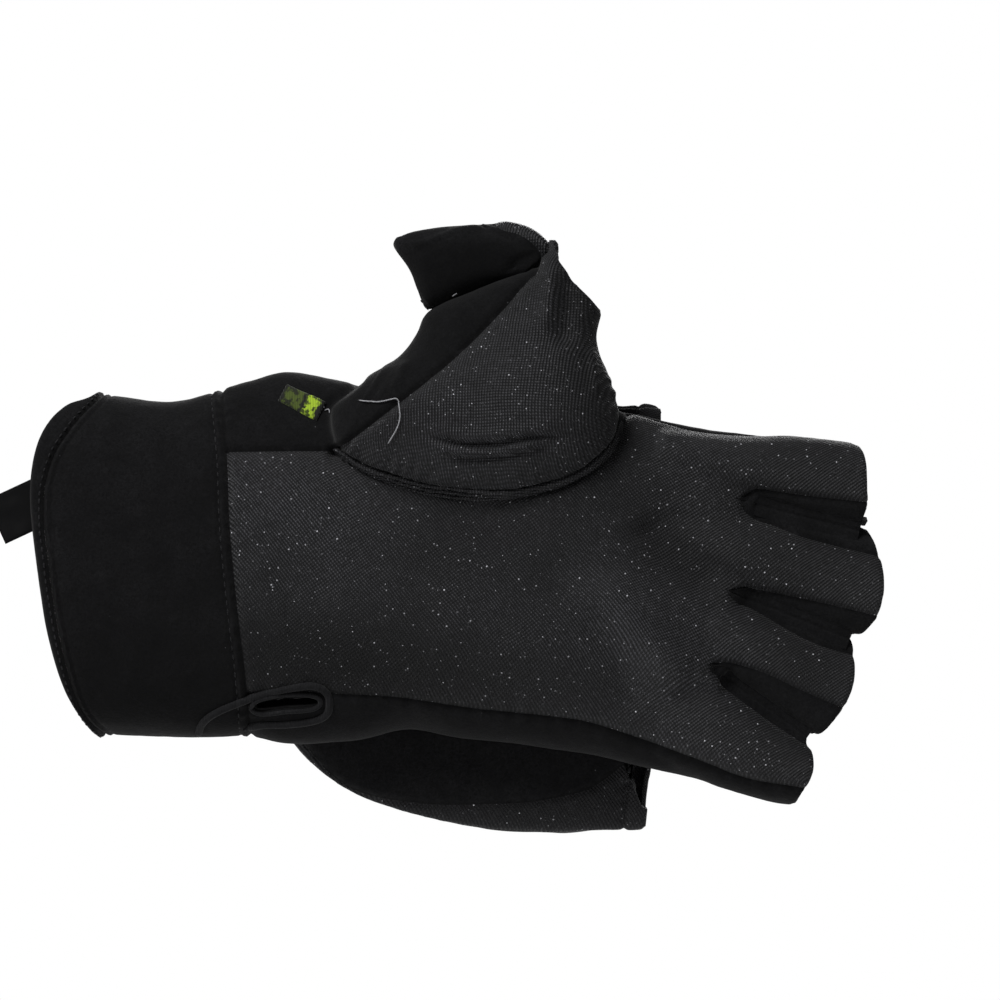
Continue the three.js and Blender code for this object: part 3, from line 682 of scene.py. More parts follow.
# Where every seam lies on it
skin = {"co": co, "faces": faces, "fields": {}}
fields = skin["fields"]
far = 400.0
cuffLine = smoothLine(placed(seams["cuff"]))
wristLine = smoothLine(placed(seams["wrist"], alongCuff))
thumbLine = smoothLine(placed(seams["thumb"]))
stripLine = placed(seams["strip"])
sideLine = smoothLine(placed(seams["thumbSide"]))
creaseLine = smoothLine(placed(seams["crease"]))
rootLine = smoothLine(placed(seams["rootBack"]))
lowLine = smoothLine(placed(seams["low"]))
mouthLine = placed(seams["mouth"])
slitLine = smoothLine(placed(seams["slit"]))
hemLine = smoothLine([(23, 58), (17.3, 47.3), (12.9, 42), (9.3, 37.1), (6.2, 32), (4.4, 27), (3.2, 21), (3, 16),
                      (3.3, 9), (4.1, 2.9), (5, -5), (6.4, -14.2), (8.6, -26), (11.5, -37), (14.4, -43),
                      (17.8, -47.4), (24, -58)])


def corner(at, up):
    return np.array([[alongHand(at), up * size["palmWidth"]]])


def stripOutline(line, width):
    # A leaf-shaped outline round a line
    side = np.gradient(line, axis=0)
    side /= np.linalg.norm(side, axis=1)[:, None]
    share = np.linspace(-1, 1, len(line))
    half = width / 2 * np.sqrt(np.clip(1 - share ** 4, 0.02, 1))
    normal = np.stack([-side[:, 1], side[:, 0]], 1) * half[:, None]
    return np.concatenate([line + normal, (line - normal)[::-1]])


def rounded(outline, times=3):
    # Corners of a closed outline cut off again and again
    points = np.asarray(outline, float)
    for _ in range(times):
        ahead = np.roll(points, -1, axis=0)
        points = np.stack([points * 0.75 + ahead * 0.25, points * 0.25 + ahead * 0.75], 1).reshape(-1, 2)
    return points


palmOutline = np.concatenate([stripLine, thumbLine[1:], corner(0.61, 0.7), corner(1.1, 0.7), corner(1.1, -0.66),
                              lowLine[::-1]])
thumbFront = np.concatenate([thumbLine, corner(0.61, 1.2), corner(0.2, 1.2), creaseLine[::-1][:-1]])
thumbBehind = np.concatenate([rootLine, corner(0.66, 1.2), corner(0.2, 1.2)])
thumbPalm = np.concatenate([thumbLine, corner(0.61, 1.2), sideLine[::-1][:-1]])
mouthOutline = np.concatenate([mouthLine, [[far, mouthLine[-1][1]], [far, mouthLine[0][1]]]])

def seamFields(co):
    # Distances to the open lines. They are taken afresh after the mesh is cut.
    found = {}
    for name, line in (("wrist", wristLine), ("cuff", cuffLine), ("hem", hemLine),
                       ("thumbSeam", thumbLine), ("side", sideLine),
                       ("crease", creaseLine), ("low", lowLine)):
        found[name], found[name + "Place"] = lineField(co, line)
    # on the back the two cuff seams lie a little further in, so that they aren't in line with the front ones
    for name in ("hem", "cuff"):
        found[name] -= 0.5 * smoothStep(co[:, 1], -4, 4)
    found["strip"] = np.abs(lineField(co, stripLine)[0])
    return found


fields.update(seamFields(co))
endsLine = np.array([(224.6, 43.5), (225.3, 34.7), (227.6, 32.9), (228.5, 29.7), (228.6, 23.5), (228.6, 15.7),
                     (227.5, 12.2), (226.9, 10.4), (231, 7.8), (232, 3.3), (232.8, 1.4), (233.4, -2.9),
                     (233.3, -6.7), (232.3, -11.7), (231, -14.9), (229.1, -17.4), (227.2, -19.6),
                     (223.8, -20.4), (225.4, -21.9), (225.3, -25.6), (225.6, -26.8), (225.3, -31.8),
                     (223.4, -36.9), (220.9, -40.6), (217.8, -45), (215.3, -47.4), (212.6, -48), (214, -50.7),
                     (214.2, -55.7), (212.9, -59.4), (210.4, -63.3), (209.3, -66.4), (208.3, -68),
                     (206, -73.4)])
endsArea = rounded(np.concatenate([endsLine, [[far, endsLine[-1][1]], [far, endsLine[0][1]]]]), 2)
fields["ends"] = outlineField(co, endsArea)
fields["mouth"] = outlineField(co, mouthOutline)
fields["palmArea"] = outlineField(co, palmOutline)
fields["thumbFront"] = outlineField(co, thumbFront)
fields["thumbBehind"] = outlineField(co, thumbBehind)
fields["thumbPalm"] = outlineField(co, thumbPalm)
fields["slit"] = outlineField(co, stripOutline(slitLine, 3.0))
for name, outline in gussets.items():
    fields[name] = outlineField(co, rounded(placed(outline)))
fields["y"] = co[:, 1].copy()
fields["edge"] = co[:, 1] + form["bandRise"] * bell(co[:, 0] - 183, 17) * smoothStep(co[:, 2], 15, 30)
fields["gussetDepth"] = co[:, 1] - 4.0
fields["thumbDepth"] = co[:, 1] + 0.3 * size["gloveDepth"]
print("seams placed")

# Seam shapes: depth and half width of the groove at each, and rows of points kept along them
trim = {
    "grooveDepth": 0.9,
    "grooveWidth": 1.05,
    "hemRise": 0.7,
    "topstitch": 2.7,  # cuff side of the cuff seam
}
contours = {
    "wrist": (0.35, 0.9, 1.6),
    "hem": (-1.2, -0.6, 0.55, 1.1, 1.7, 2.3),
    "cuff": (-3.6, -2.7, -1.9, -0.8, 0.8, 1.5),
    "thumbSeam": (-0.8, 0.8),
    "side": (-0.7, 0.7),
    "low": (-0.8, 0.8),
    "ends": (-0.5, -1.2),
    "mouth": (-0.5, -1.2),
}
for name, rows in contours.items():
    for row in rows:
        splitAt(skin, skin["fields"][name] - row, snap=0.18)
for name in gussets:
    for row in (-0.8, 0.8):
        splitAt(skin, skin["fields"][name] - row, snap=0.2)
for name in ["wrist", "hem", "ends", "mouth", "slit", "cuff",
             "palmArea", "thumbFront", "thumbBehind", "thumbPalm", "y", "edge",
             "gussetDepth", "thumbDepth"] + list(gussets):
    cutAt(skin, name)
print("skin cut", len(skin["faces"]), "faces")

# Folds of the cloth as (X, Z) lines: half width, rise (negative for a valley)
folds = {
    "gatherDeep": ([(104.7, 36.4), (112.2, 33.9), (120.3, 32.8), (128.3, 33.3), (135.3, 34.7),
                    (151.1, 35.6)], 1.2, -1.5),
    "gatherLight": ([(110, 30.8), (118.1, 29.2), (126.7, 29.4), (132.2, 30.6), (139.7, 32.2),
                     (146.7, 33.6)], 1.1, -1.2),
    "gatherRidge": ([(107, 33.6), (119, 31), (130, 31.5), (143, 34)], 1.3, 0.8),
    "gatherTop": ([(108, 38.2), (118, 35.6), (130, 36.2), (141, 38)], 1.6, 0.5),
    "stripRidge": ([(98.6, 47.2), (100.6, 51.9), (102.8, 56.9)], 1.4, 0.7),
    "thumbRidge": ([(152.8, 60.3), (153.3, 50), (154.7, 45.8)], 1.2, 0.8),
    "thumbFold": ([(140.6, 87), (141.2, 80), (140.6, 72), (138.5, 62)], 2.6, 1.5),
    "thumbHollow": ([(146.5, 82), (147, 75), (146, 66), (144.5, 58)], 3.2, -1.7),
    "palmValley": ([(166.7, 15.3), (172.2, 2.8), (181.9, -4.2), (191.7, -6.9)], 5.0, -1.8),
    "palmRidge": ([(155.6, 1.4), (169.4, -20.8), (180.6, -37.5)], 6.0, 1.6),
    "palmDip": ([(150, -10), (160, -28), (168, -42)], 5.0, -0.8),
    "heelFold": ([(60, 5), (64, -8), (70, -22)], 4.0, 0.5),
}


def foldRelief(co, lines):
    total = np.zeros(len(co))
    for line, width, rise in lines.values():
        path = smoothLine(line)
        d, place = lineField(co, path)
        length = np.linalg.norm(np.diff(path, axis=0), axis=1).sum()
        fade = smoothStep(place, 0, 0.2 * length) * smoothStep(length - place, 0, 0.25 * length)
        total += rise * bell(d, width) * fade
    return total


def groove(d, depth, width):
    return -depth * bell(d, width)


def skinRelief(mesh):
    # How far each point of the skin stands out, and how near it is to a seam
    f, co = mesh["fields"], mesh["co"]
    front = smoothStep(-f["y"], -1.5, 2.5)
    hand = smoothStep(f["cuff"], -0.5, 0.5)
    deep, wide = trim["grooveDepth"], trim["grooveWidth"]
    lines = {
        "cuff": groove(f["cuff"], 0.9, 1.0),
        "strip": groove(f["strip"], deep, wide) * front * hand,
        "thumb": groove(f["thumbSeam"], 1.0, 1.2) * front,
        "side": groove(f["thumbPalm"], deep, wide) * smoothStep(-f["thumbDepth"], -0.5, 0.5) * (f["side"] < 3),
        "crease": groove(f["crease"], 1.0, 1.2) * smoothStep(-f["y"], -4, 0),
        "low": groove(f["low"], deep, wide) * front * hand,
        "root": groove(f["thumbBehind"], 0.7, 1.0) * (1 - front),
        "edge": groove(f["edge"], 0.5, 0.8) * smoothStep(f["palmArea"], -1, 1),
    }
    for name in gussets:
        lines[name] = groove(f[name], 0.8, 0.9) * smoothStep(-f["y"], -6, -4)
    seam = sum(lines.values())
    # how deep the seam groove is here; the materials darken by it, as painted shade in the grooves
    near = np.clip(-seam / deep, 0, 1)
    # hem: a roll, a groove, a thin fold and a second groove
    d, e = f["wrist"], f["hem"]
    share = np.clip(d / np.maximum(d - e, 0.5), 0, 1)
    roll = trim["hemRise"] * (1 - np.abs(2 * share - 1) ** 3) - 0.9 * np.clip(1 - d / 1.1, 0, 1) ** 2
    hem = roll * smoothStep(-e, -0.1, 0.6) + groove(e, 0.6, 0.6)
    hem = hem + 0.22 * bell(e - 1.0, 0.45) + groove(e - 1.9, 0.35, 0.5)
    near = np.maximum(near, np.clip(bell(e, 0.7) + 0.7 * bell(e - 1.9, 0.6), 0, 1))
    stitchRow = groove(f["cuff"] + trim["topstitch"], 0.5, 0.6) + 0.3 * bell(f["cuff"] + 1.3, 0.8)
    near = np.maximum(near, 0.6 * bell(f["cuff"] + trim["topstitch"], 0.6))
    # puckers run out from the sewn seams
    place = f["cuffPlace"]
    pucker = 0.16 * np.sin(place * 1.5 + np.sin(place * 0.37) * 2) * bell(np.abs(f["cuff"]) - 1.6, 1.5)
    place = f["thumbSeamPlace"]
    pucker += 0.3 * np.sin(place * 1.25 + np.sin(place * 0.31) * 2.4) * bell(f["thumbFront"] - 4.4, 2.6) * front
    pucker += 0.16 * np.sin(f["lowPlace"] * 1.1 + 1) * bell(np.abs(f["low"]) - 1.8, 1.6) * front * hand
    pucker += 0.14 * np.sin(f["sidePlace"] * 1.7) * bell(np.abs(f["side"]) - 1.7, 1.4) * front
    edges = -0.5 * bell(np.minimum(f["ends"], 0), 0.7) - 0.5 * bell(np.minimum(f["mouth"], 0), 0.7)
    waves = 0.55 * unevenness(co, 0.035, 1) + 0.28 * unevenness(co, 0.09, 2) + 0.1 * unevenness(co, 0.28, 3)
    total = seam + hem + stitchRow + pucker + edges + waves + foldRelief(co, folds) * front
    return total, near


fields.update(seamFields(skin["co"]))
normals = vertexNormals(skin["co"], skin["faces"])
relief, seamNear = skinRelief(skin)
soft = relaxed(normals, uniqueEdges(skin["faces"]), 3, 0.5)
soft /= np.linalg.norm(soft, axis=1)[:, None]
before = skin["co"]
skin["co"] = before + soft * relief[:, None]
skin["fields"]["seamNear"] = seamNear
# facing walls of the stalls curve alike, so that nothing shows between them
for k in range(3):
    crease = np.interp(before[:, 0], alongHand(stallRows[:, 0]), stallRows[:, 4 + k] * size["palmWidth"])
    start = alongHand(form["creaseStart"][k])
    skin["co"][:, 2] += (form["creaseBulge"] * bell(before[:, 1] + 4.5, 4.0) * bell(before[:, 2] - crease, 5)
                         * smoothStep(before[:, 0], start - 8, start))
print("relief laid on")

# The pieces: which faces belong to which panel
on = {name: onFaces(skin, name) for name in skin["fields"]}
alive = (on["wrist"] > 0) & (on["ends"] < 0) & (on["mouth"] < 0)
palmSide = on["y"] < 0
cuffPart = alive & (on["cuff"] < 0)
handPart = alive & (on["cuff"] > 0)
inSlit = (on["slit"] > 0) & palmSide
picks = {
    "cuff_hem": cuffPart & (on["hem"] < 0),
    "cuff_band": cuffPart & (on["hem"] > 0) & ~inSlit,
}
inGusset = np.zeros(len(on["y"]), bool)
for name in gussets:
    picks[name] = handPart & (on[name] > 0) & (on["gussetDepth"] < 0)
    inGusset |= picks[name]
inThumb = np.where(palmSide, on["thumbFront"], on["thumbBehind"]) > 0
picks["thumb_panel"] = handPart & (on["thumbPalm"] > 0) & (on["thumbDepth"] < 0)
picks["thumb_back"] = handPart & inThumb & ~picks["thumb_panel"]
free = handPart & ~inGusset & ~inThumb & ~inSlit & ~picks["thumb_panel"]
onPalm = (on["palmArea"] > 0) & (on["edge"] < 0)
picks["palm_panel"] = free & onPalm
picks["back_panel"] = free & ~onPalm
parts = {name: partOf(skin, chosen) for name, chosen in withoutCrumbs(skin, picks).items()}
whole = skin["faces"][alive]
skinTree = BVHTree.FromPolygons(skin["co"].tolist(), whole.tolist())
print("panels parted")

# The mitten hood, folded back on the back of the glove with its mouth towards the fingers
hood = {
    "wall": 1.8,
    "voxel": 1.0,
    "sides": 160,
    "tip": 2.6,  # how far its closed end is rounded
    "lie": 0.9,  # its inner layer above the back panel
    "edge": 0.31,  # depth of the seam round its edge, a share of hoodDepth
    "hem": 6.0,
    "mouth": [(171.0, 80), (172.6, 46), (172.8, 40), (171.8, 10), (171.2, -25), (170.9, -55), (169.9, -62),
              (168.9, -70), (167.0, -95)],
    "turnOver": [(58, 60), (60, 20), (61, -20), (66, -42), (73.9, -53.3), (81.4, -60.6), (88.9, -64.2),
                 (98.3, -66.1), (111.7, -67.2), (126.7, -66.9), (136.1, -66.4), (145.6, -64.7), (153.1, -62.5),
                 (158.9, -58.6), (162.5, -55.8), (172, -52), (190, -46)],
    # where the outer layer's inside shows
    "corner": [(162.4, -56), (167.3, -67.4), (174, -72), (178, -50), (163, -50)],
}


def hoodLoft():
    rows, wide, deep = filled(hoodSections, 8), size["palmWidth"], size["hoodDepth"]
    rings = []

    def addRing(x, top, low, palm, back, edge):
        rings.append(ringPoints(x, top, x, low, palm, back, edge, size["limbSquare"], hood["sides"])[0])

    x, top, low, palm, back, edge = rows[0] * np.array([1, wide, wide, deep, deep, deep])
    for k in range(7, 0, -1):
        turn = k / 8 * math.pi / 2
        inset = hood["tip"] * (1 - math.cos(turn))
        addRing(alongHand(x) - hood["tip"] * math.sin(turn), top - inset * 2, low + inset * 2,
                palm + inset * 0.9, back - inset * 0.9, edge)
    for row in rows:
        addRing(alongHand(row[0]), *(row[1:] * np.array([wide, wide, deep, deep, deep])))
    addRing(alongHand(rows[-1][0]) + 10, *(rows[-1][1:] * np.array([wide, wide, deep, deep, deep])))
    return closedLoft(rings)


def backOf(tree, co, fallback):
    # The height of the skin's back at each place
    out = np.full(len(co), fallback)
    for i, (x, _, z) in enumerate(co):
        hit = tree.ray_cast(Vector((x, 200.0, z)), Vector((0, -1, 0)))[0]
        if hit is not None:
            out[i] = hit[1]
    return out


def softMax(a, b, reach):
    blend = np.clip(0.5 + 0.5 * (a - b) / reach, 0, 1)
    return b * (1 - blend) + a * blend + reach * blend * (1 - blend)


co, faces = remeshed([hoodLoft()], hood["voxel"])
hoodEdges = uniqueEdges(faces)
co = relaxed(co, hoodEdges, 6, 0.5)
facing = relaxed(vertexNormals(co, faces), hoodEdges, 4, 0.5)[:, 1]
outer = smoothStep(facing, -0.35, 0.45)
under = backOf(skinTree, co, -60.0)
under = relaxed(under, hoodEdges, 6, 0.5, under < -30)
# the empty pouch sinks between its edges and bulges at its mouth
sink = 3.2 * bell(co[:, 0] - 118, 26) * bell(co[:, 2] + 12, 26)
sink += 1.6 * bell(co[:, 0] - 84, 14) * bell(co[:, 2] - 14, 20)
co[:, 1] -= outer * sink
co[:, 1] = softMax(co[:, 1], under + hood["lie"] + outer * (2 * hood["wall"] + 1.2), 1.0)
co = relaxed(co, hoodEdges, 4, 0.5)
pouch = {"co": co, "faces": faces, "fields": {}}
turnLine = smoothLine(hood["turnOver"])
pouch["fields"]["mouth"] = lineField(co, smoothLine(hood["mouth"]))[0]
turned, pouch["fields"]["turnPlace"] = lineField(co, turnLine)
turned = -turned
inside = np.maximum(hood["edge"] * size["hoodDepth"] - co[:, 1], under + 3.2 - co[:, 1])
pouch["fields"]["inside"] = inside
pouch["fields"]["turned"] = turned
pouch["fields"]["corner"] = outlineField(co, np.array(hood["corner"]))
pouch["fields"]["outer"] = outer
pouch["fields"]["under"] = under

for row in (-0.6, -1.4, -hood["hem"] - 0.8, -hood["hem"] + 0.8, -hood["hem"] + 1.6):
    splitAt(pouch, pouch["fields"]["mouth"] - row, snap=0.18)
for name in ("inside", "turned"):
    for row in (-0.9, 0.9):
        splitAt(pouch, pouch["fields"][name] - row, snap=0.2)
cutAt(pouch, "mouth")
cutAt(pouch, "corner")
cutAt(pouch, "mouth", -hood["hem"])
for name in ("inside", "turned"):
    cutAt(pouch, name)


def hoodRelief(mesh):
    f, co = mesh["fields"], mesh["co"]
    # turned is positive below its line, on the outer layer's turn-over
    front = smoothStep(f["inside"], -0.6, 0.6)
    seam = groove(f["turned"], 0.7, 0.9) * front + groove(f["inside"], 0.7, 0.9) * smoothStep(-f["turned"], -1, 1)
    seam += groove(f["mouth"] + hood["hem"], 0.35, 0.6)
    near = np.clip(-seam / 0.8, 0, 1)
    hem = 0.5 * np.clip(1 - np.abs((f["mouth"] + 3) / 3) ** 3, 0, 1) - 0.5 * bell(f["mouth"], 0.7)
    out = 1 - front
    # soft folds: some run from the tip, some cross the pouch where it creases on the knuckles
    x, z = co[:, 0], co[:, 2]
    bend = z * 0.9 + 7 * np.sin(x * 0.045 + 0.6)
    slack = 0.7 * np.sin(bend * 0.21) * smoothStep(x, 62, 80) * smoothStep(-x, -130, -92)
    wander = 1.1 * np.sin((x + 0.25 * z + 5 * np.sin(z * 0.06)) * 0.2)
    slack += wander * smoothStep(x, 96, 128) * smoothStep(-x, -166, -150)
    calm = 0.35 + 0.65 * np.clip(f["outer"], 0, 1)
    waves = (1.5 * unevenness(co, 0.022, 11) + 0.7 * unevenness(co, 0.055, 12)) * out + 0.25 * unevenness(co, 0.12, 13)
    pucker = 0.22 * np.sin(f["turnPlace"] * 1.2) * bell(np.abs(f["turned"]) - 2, 1.8) * front
    ripple = 0.25 * np.sin(x * 0.95 + np.sin(x * 0.21) * 2) * bell(np.abs(f["inside"]) - 2.2, 2)
    pucker += ripple * smoothStep(-f["turned"], -1, 1)
    pucker += 0.2 * np.sin(z * 1.15 + np.sin(z * 0.2) * 2) * bell(f["mouth"] + hood["hem"] + 2, 2.2)
    return seam + hem + slack * out * 0.7 * smoothStep(f["outer"], 0.3, 0.9) + waves * calm + pucker, near


normals = vertexNormals(pouch["co"], pouch["faces"])
relief, seamNear = hoodRelief(pouch)
relief = np.where(pouch["fields"]["inside"] > 0, np.maximum(relief, -0.6) * 0.8, relief)
soft = relaxed(normals, uniqueEdges(pouch["faces"]), 4, 0.5)
soft /= np.linalg.norm(soft, axis=1)[:, None]
pouch["co"] = pouch["co"] + soft * relief[:, None]
pouch["fields"]["seamNear"] = seamNear
on = {name: onFaces(pouch, name) for name in pouch["fields"]}
alive = on["mouth"] < 0
isFront = (on["inside"] > 0) & (on["turned"] < 0)
beyond = (on["corner"] > 0) & (on["inside"] > -1.5)
inHem = on["mouth"] > -hood["hem"]
hoodPicks = {
    "hood_back_panel": alive & isFront & ~inHem & ~beyond,
    "hood_palm_panel": alive & ~isFront & ~inHem & ~beyond,
    "hood_hem": alive & inHem & ~beyond,
}
for name, chosen in withoutCrumbs(pouch, hoodPicks).items():
    parts[name] = partOf(pouch, chosen)
print("hood parted", {name: len(parts[name]["faces"]) for name in hoodPicks})

# The thumb cap, turned back off the thumb stall
cap = {
    "wall": 1.5,
    "voxel": 0.62,
    "sides": 110,
    "fold": [(124.5, 97.5), (127.8, 92.9), (133.1, 91.1), (137.2, 88.3), (139.6, 85), (139.4, 82.8),
             (137.4, 80.8), (135.8, 78.3), (133, 72), (130, 64)],
    "hemLine": [(97.2, 92), (98.1, 88.9), (99.2, 84.2), (103.3, 76.9), (107.8, 70.8), (110, 66)],
    "lightLine": [(100, 89.4), (104.7, 88.1), (112.2, 90.6), (116.7, 92.5), (122.8, 93.3)],
    "crease": [(107.8, 70.6), (113.6, 73.1), (117.5, 75.8), (125.6, 79.4), (134.4, 82.2)],
    "topFold": [(133.3, 81.9), (140.3, 86.1), (137.5, 88.9), (133.3, 90.3), (129.2, 92.5), (125, 93.6)],
}


def capLoft():
    middle, deep, wide = size["capMiddle"] * size["gloveDepth"], size["capDepth"], size["palmWidth"]
    rings = []
    for topAt, top, lowAt, low, front, back in filled(capSections, 10):
        rings.append(ringPoints(alongHand(topAt), top * wide, alongHand(lowAt), low * wide, middle + front * deep,
                                middle + back * deep, middle, size["limbSquare"], cap["sides"])[0])
    return closedLoft(rings)


co, faces = remeshed([capLoft()], cap["voxel"])
capEdges = uniqueEdges(faces)
co = relaxed(co, capEdges, 5, 0.5)
# its lower corner hangs over the thumb, and its closed end is drawn in at the middle
co[:, 2] -= 2.8 * bell(co[:, 0] - 136.5, 6) * smoothStep(-co[:, 2], -90, -84)
co[:, 0] += 1.5 * bell(co[:, 2] - 80, 6) * smoothStep(-co[:, 0], -112, -100)
pocket = {"co": co, "faces": faces, "fields": {}}
pocket["fields"]["fold"] = lineField(co, smoothLine(cap["fold"]))[0]
pocket["fields"]["hem"], pocket["fields"]["hemPlace"] = lineField(co, smoothLine(cap["hemLine"]))
pocket["fields"]["light"] = lineField(co, smoothLine(cap["lightLine"]))[0]
pocket["fields"]["crease"] = lineField(co, smoothLine(cap["crease"]))[0]
pocket["fields"]["topFold"] = lineField(co, smoothLine(cap["topFold"]))[0]
pocket["fields"]["y"] = co[:, 1] - size["capMiddle"] * size["gloveDepth"]
for row in (-0.7, 0.7):
    splitAt(pocket, pocket["fields"]["fold"] - row, snap=0.15)
    splitAt(pocket, pocket["fields"]["hem"] - row, snap=0.15)
cutAt(pocket, "fold")


def capRelief(mesh):
    f, co = mesh["fields"], mesh["co"]
    front = smoothStep(-f["y"], -1, 1.5)
    seam = groove(f["fold"], 0.9, 1.0) * front + groove(f["hem"], 0.8, 0.7) * front
    near = np.clip(-seam / 0.8, 0, 1)
    rise = 0.6 * bell(f["light"], 0.9) * front + 0.5 * bell(f["hem"] + 1.7, 1.2) * front
    rise += -1.0 * bell(f["topFold"] - 1.2, 2.0) * front * smoothStep(-f["fold"], 0, 2)
    rise += 0.9 * bell(f["fold"] - 1.6, 1.5)
    sag = -1.3 * bell(co[:, 0] - 122, 9) * bell(co[:, 2] - 84, 6) * front
    waves = 0.5 * unevenness(co, 0.05, 21) + 0.25 * unevenness(co, 0.13, 22)
    return seam + rise + sag + waves, near


normals = vertexNormals(pocket["co"], pocket["faces"])
relief, seamNear = capRelief(pocket)
soft = relaxed(normals, uniqueEdges(pocket["faces"]), 4, 0.5)
soft /= np.linalg.norm(soft, axis=1)[:, None]
pocket["co"] = pocket["co"] + soft * relief[:, None]
pocket["fields"]["seamNear"] = seamNear
onFold = onFaces(pocket, "fold")
parts["thumb_cap"] = partOf(pocket, onFold < 0)
parts["cap_fold"] = partOf(pocket, onFold > 0)
print("cap parted", len(parts["thumb_cap"]["faces"]), len(parts["cap_fold"]["faces"]))


# Materials
cloth = {
    "twill": (0.0055, 0.0055, 0.0062),
    "twillLight": (0.063, 0.063, 0.0705),
    "fleece": (0.0028, 0.0028, 0.0031),
    "fleeceWorn": (0.01, 0.01, 0.011),
    "binding": (0.007, 0.007, 0.0078),
    "lining": (0.018, 0.018, 0.019),
    "thread": (0.012, 0.012, 0.0135),
    "looseThread": (0.28, 0.28, 0.3),
    "patchDark": (0.07, 0.1, 0.012),
    "patchLight": (0.42, 0.62, 0.03),
    "ribbon": (0.0015, 0.0015, 0.0017),
}


def group(name, inputs, outputs):
    tree = bpy.data.node_groups.new(name, "ShaderNodeTree")
    for label, kind, value in inputs:
        socket = tree.interface.new_socket(label, in_out="INPUT", socket_type=kind)
        if value is not None:
            socket.default_value = value
    for label, kind in outputs:
        tree.interface.new_socket(label, in_out="OUTPUT", socket_type=kind)
    return tree, tree.nodes.new("NodeGroupInput"), tree.nodes.new("NodeGroupOutput")


def add(tree, kind, links=(), **settings):
    # A node with its settings, and with sockets linked or set by index or name
    node = tree.nodes.new(kind)
    for key, value in settings.items():
        setattr(node, key, value)
    for socket, source in dict(links).items():
        if isinstance(source, bpy.types.NodeSocket):
            tree.links.new(source, node.inputs[socket])
        else:
            node.inputs[socket].default_value = source
    return node


def math2(tree, operation, a, b=None, clamp=False):
    links = {0: a} if b is None else {0: a, 1: b}
    return add(tree, "ShaderNodeMath", links, operation=operation, use_clamp=clamp).outputs[0]


def product(tree, a, b, clamp=False):
    return math2(tree, "MULTIPLY", a, b, clamp)


def mapRange(tree, value, low, high, toLow=0.0, toHigh=1.0, smooth=False):
    node = add(tree, "ShaderNodeMapRange", {0: value, 1: low, 2: high, 3: toLow, 4: toHigh})
    if smooth:
        node.interpolation_type = "SMOOTHSTEP"
    return node.outputs[0]


def mixColour(tree, factor, a, b):
    node = add(tree, "ShaderNodeMix", data_type="RGBA")
    for socket, source in ((node.inputs[0], factor), (node.inputs[6], a), (node.inputs[7], b)):
        if isinstance(source, bpy.types.NodeSocket):
            tree.links.new(source, socket)
        else:
            socket.default_value = tuple(source) + (1.0,) if isinstance(source, tuple) and len(source) == 3 else source
    return node.outputs[2]


def makeGripWeave():
    # Rows of rubber dots on a knit: two families of ribs, in phases that hold on curved cloth
    tree, start, end = group("gripWeave", [
        ("Vector", "NodeSocketVector", None), ("Pitch", "NodeSocketFloat", 0.0008),
        ("FirstLean", "NodeSocketFloat", 35.0), ("SecondLean", "NodeSocketFloat", -52.0),
        ("Second", "NodeSocketFloat", 0.5), ("Cross", "NodeSocketFloat", 0.45),
    ], [("Height", "NodeSocketFloat"), ("Tone", "NodeSocketFloat")])
    warp = add(tree, "ShaderNodeTexNoise", {"Vector": start.outputs["Vector"], "Scale": 60.0, "Detail": 2.0})
    sway = add(tree, "ShaderNodeVectorMath", {0: warp.outputs["Color"], 1: (0.5, 0.5, 0.5)}, operation="SUBTRACT")
    swayed = add(tree, "ShaderNodeVectorMath", {0: sway.outputs[0], 1: (0.0016, 0.0016, 0.0016)}, operation="MULTIPLY")
    moved = add(tree, "ShaderNodeVectorMath", {0: start.outputs["Vector"], 1: swayed.outputs[0]}, operation="ADD")
    turn = math2(tree, "DIVIDE", 2 * math.pi, start.outputs["Pitch"])
    rib = []
    for lean, dip in (("FirstLean", 0.5), ("SecondLean", 0.45)):
        angle = math2(tree, "RADIANS", start.outputs[lean])
        across = add(tree, "ShaderNodeCombineXYZ", {0: product(tree, math2(tree, "SINE", angle), -1.0), 1: dip,
                                                    2: math2(tree, "COSINE", angle)})
        along = add(tree, "ShaderNodeVectorMath", {0: moved.outputs[0], 1: across.outputs[0]},
                    operation="DOT_PRODUCT").outputs["Value"]
        rib.append(add(tree, "ShaderNodeMath", {0: math2(tree, "SINE", product(tree, along, turn)), 1: 0.5, 2: 0.5},
                       operation="MULTIPLY_ADD").outputs[0])
    patchy = add(tree, "ShaderNodeTexNoise", {"Vector": start.outputs["Vector"], "Scale": 42.0, "Detail": 2.0})
    patches = mapRange(tree, patchy.outputs["Fac"], 0.3, 0.7, -0.45, 0.45)
    share = math2(tree, "ADD", start.outputs["Second"], patches, clamp=True)
    both = add(tree, "ShaderNodeMix", {0: share, 2: rib[0], 3: rib[1]}).outputs[0]
    dots = product(tree, rib[0], rib[1])
    height = add(tree, "ShaderNodeMix", {0: start.outputs["Cross"], 2: both, 3: dots}).outputs[0]
    tree.links.new(height, end.inputs["Height"])
    fine = add(tree, "ShaderNodeTexNoise", {"Vector": start.outputs["Vector"], "Scale": 900.0, "Detail": 2.0})
    uneven = mapRange(tree, fine.outputs["Fac"], 0.3, 0.7, 0.35, 1.5)
    tone = product(tree, math2(tree, "POWER", height, 1.6), uneven)
    tree.links.new(tone, end.inputs["Tone"])
    return tree


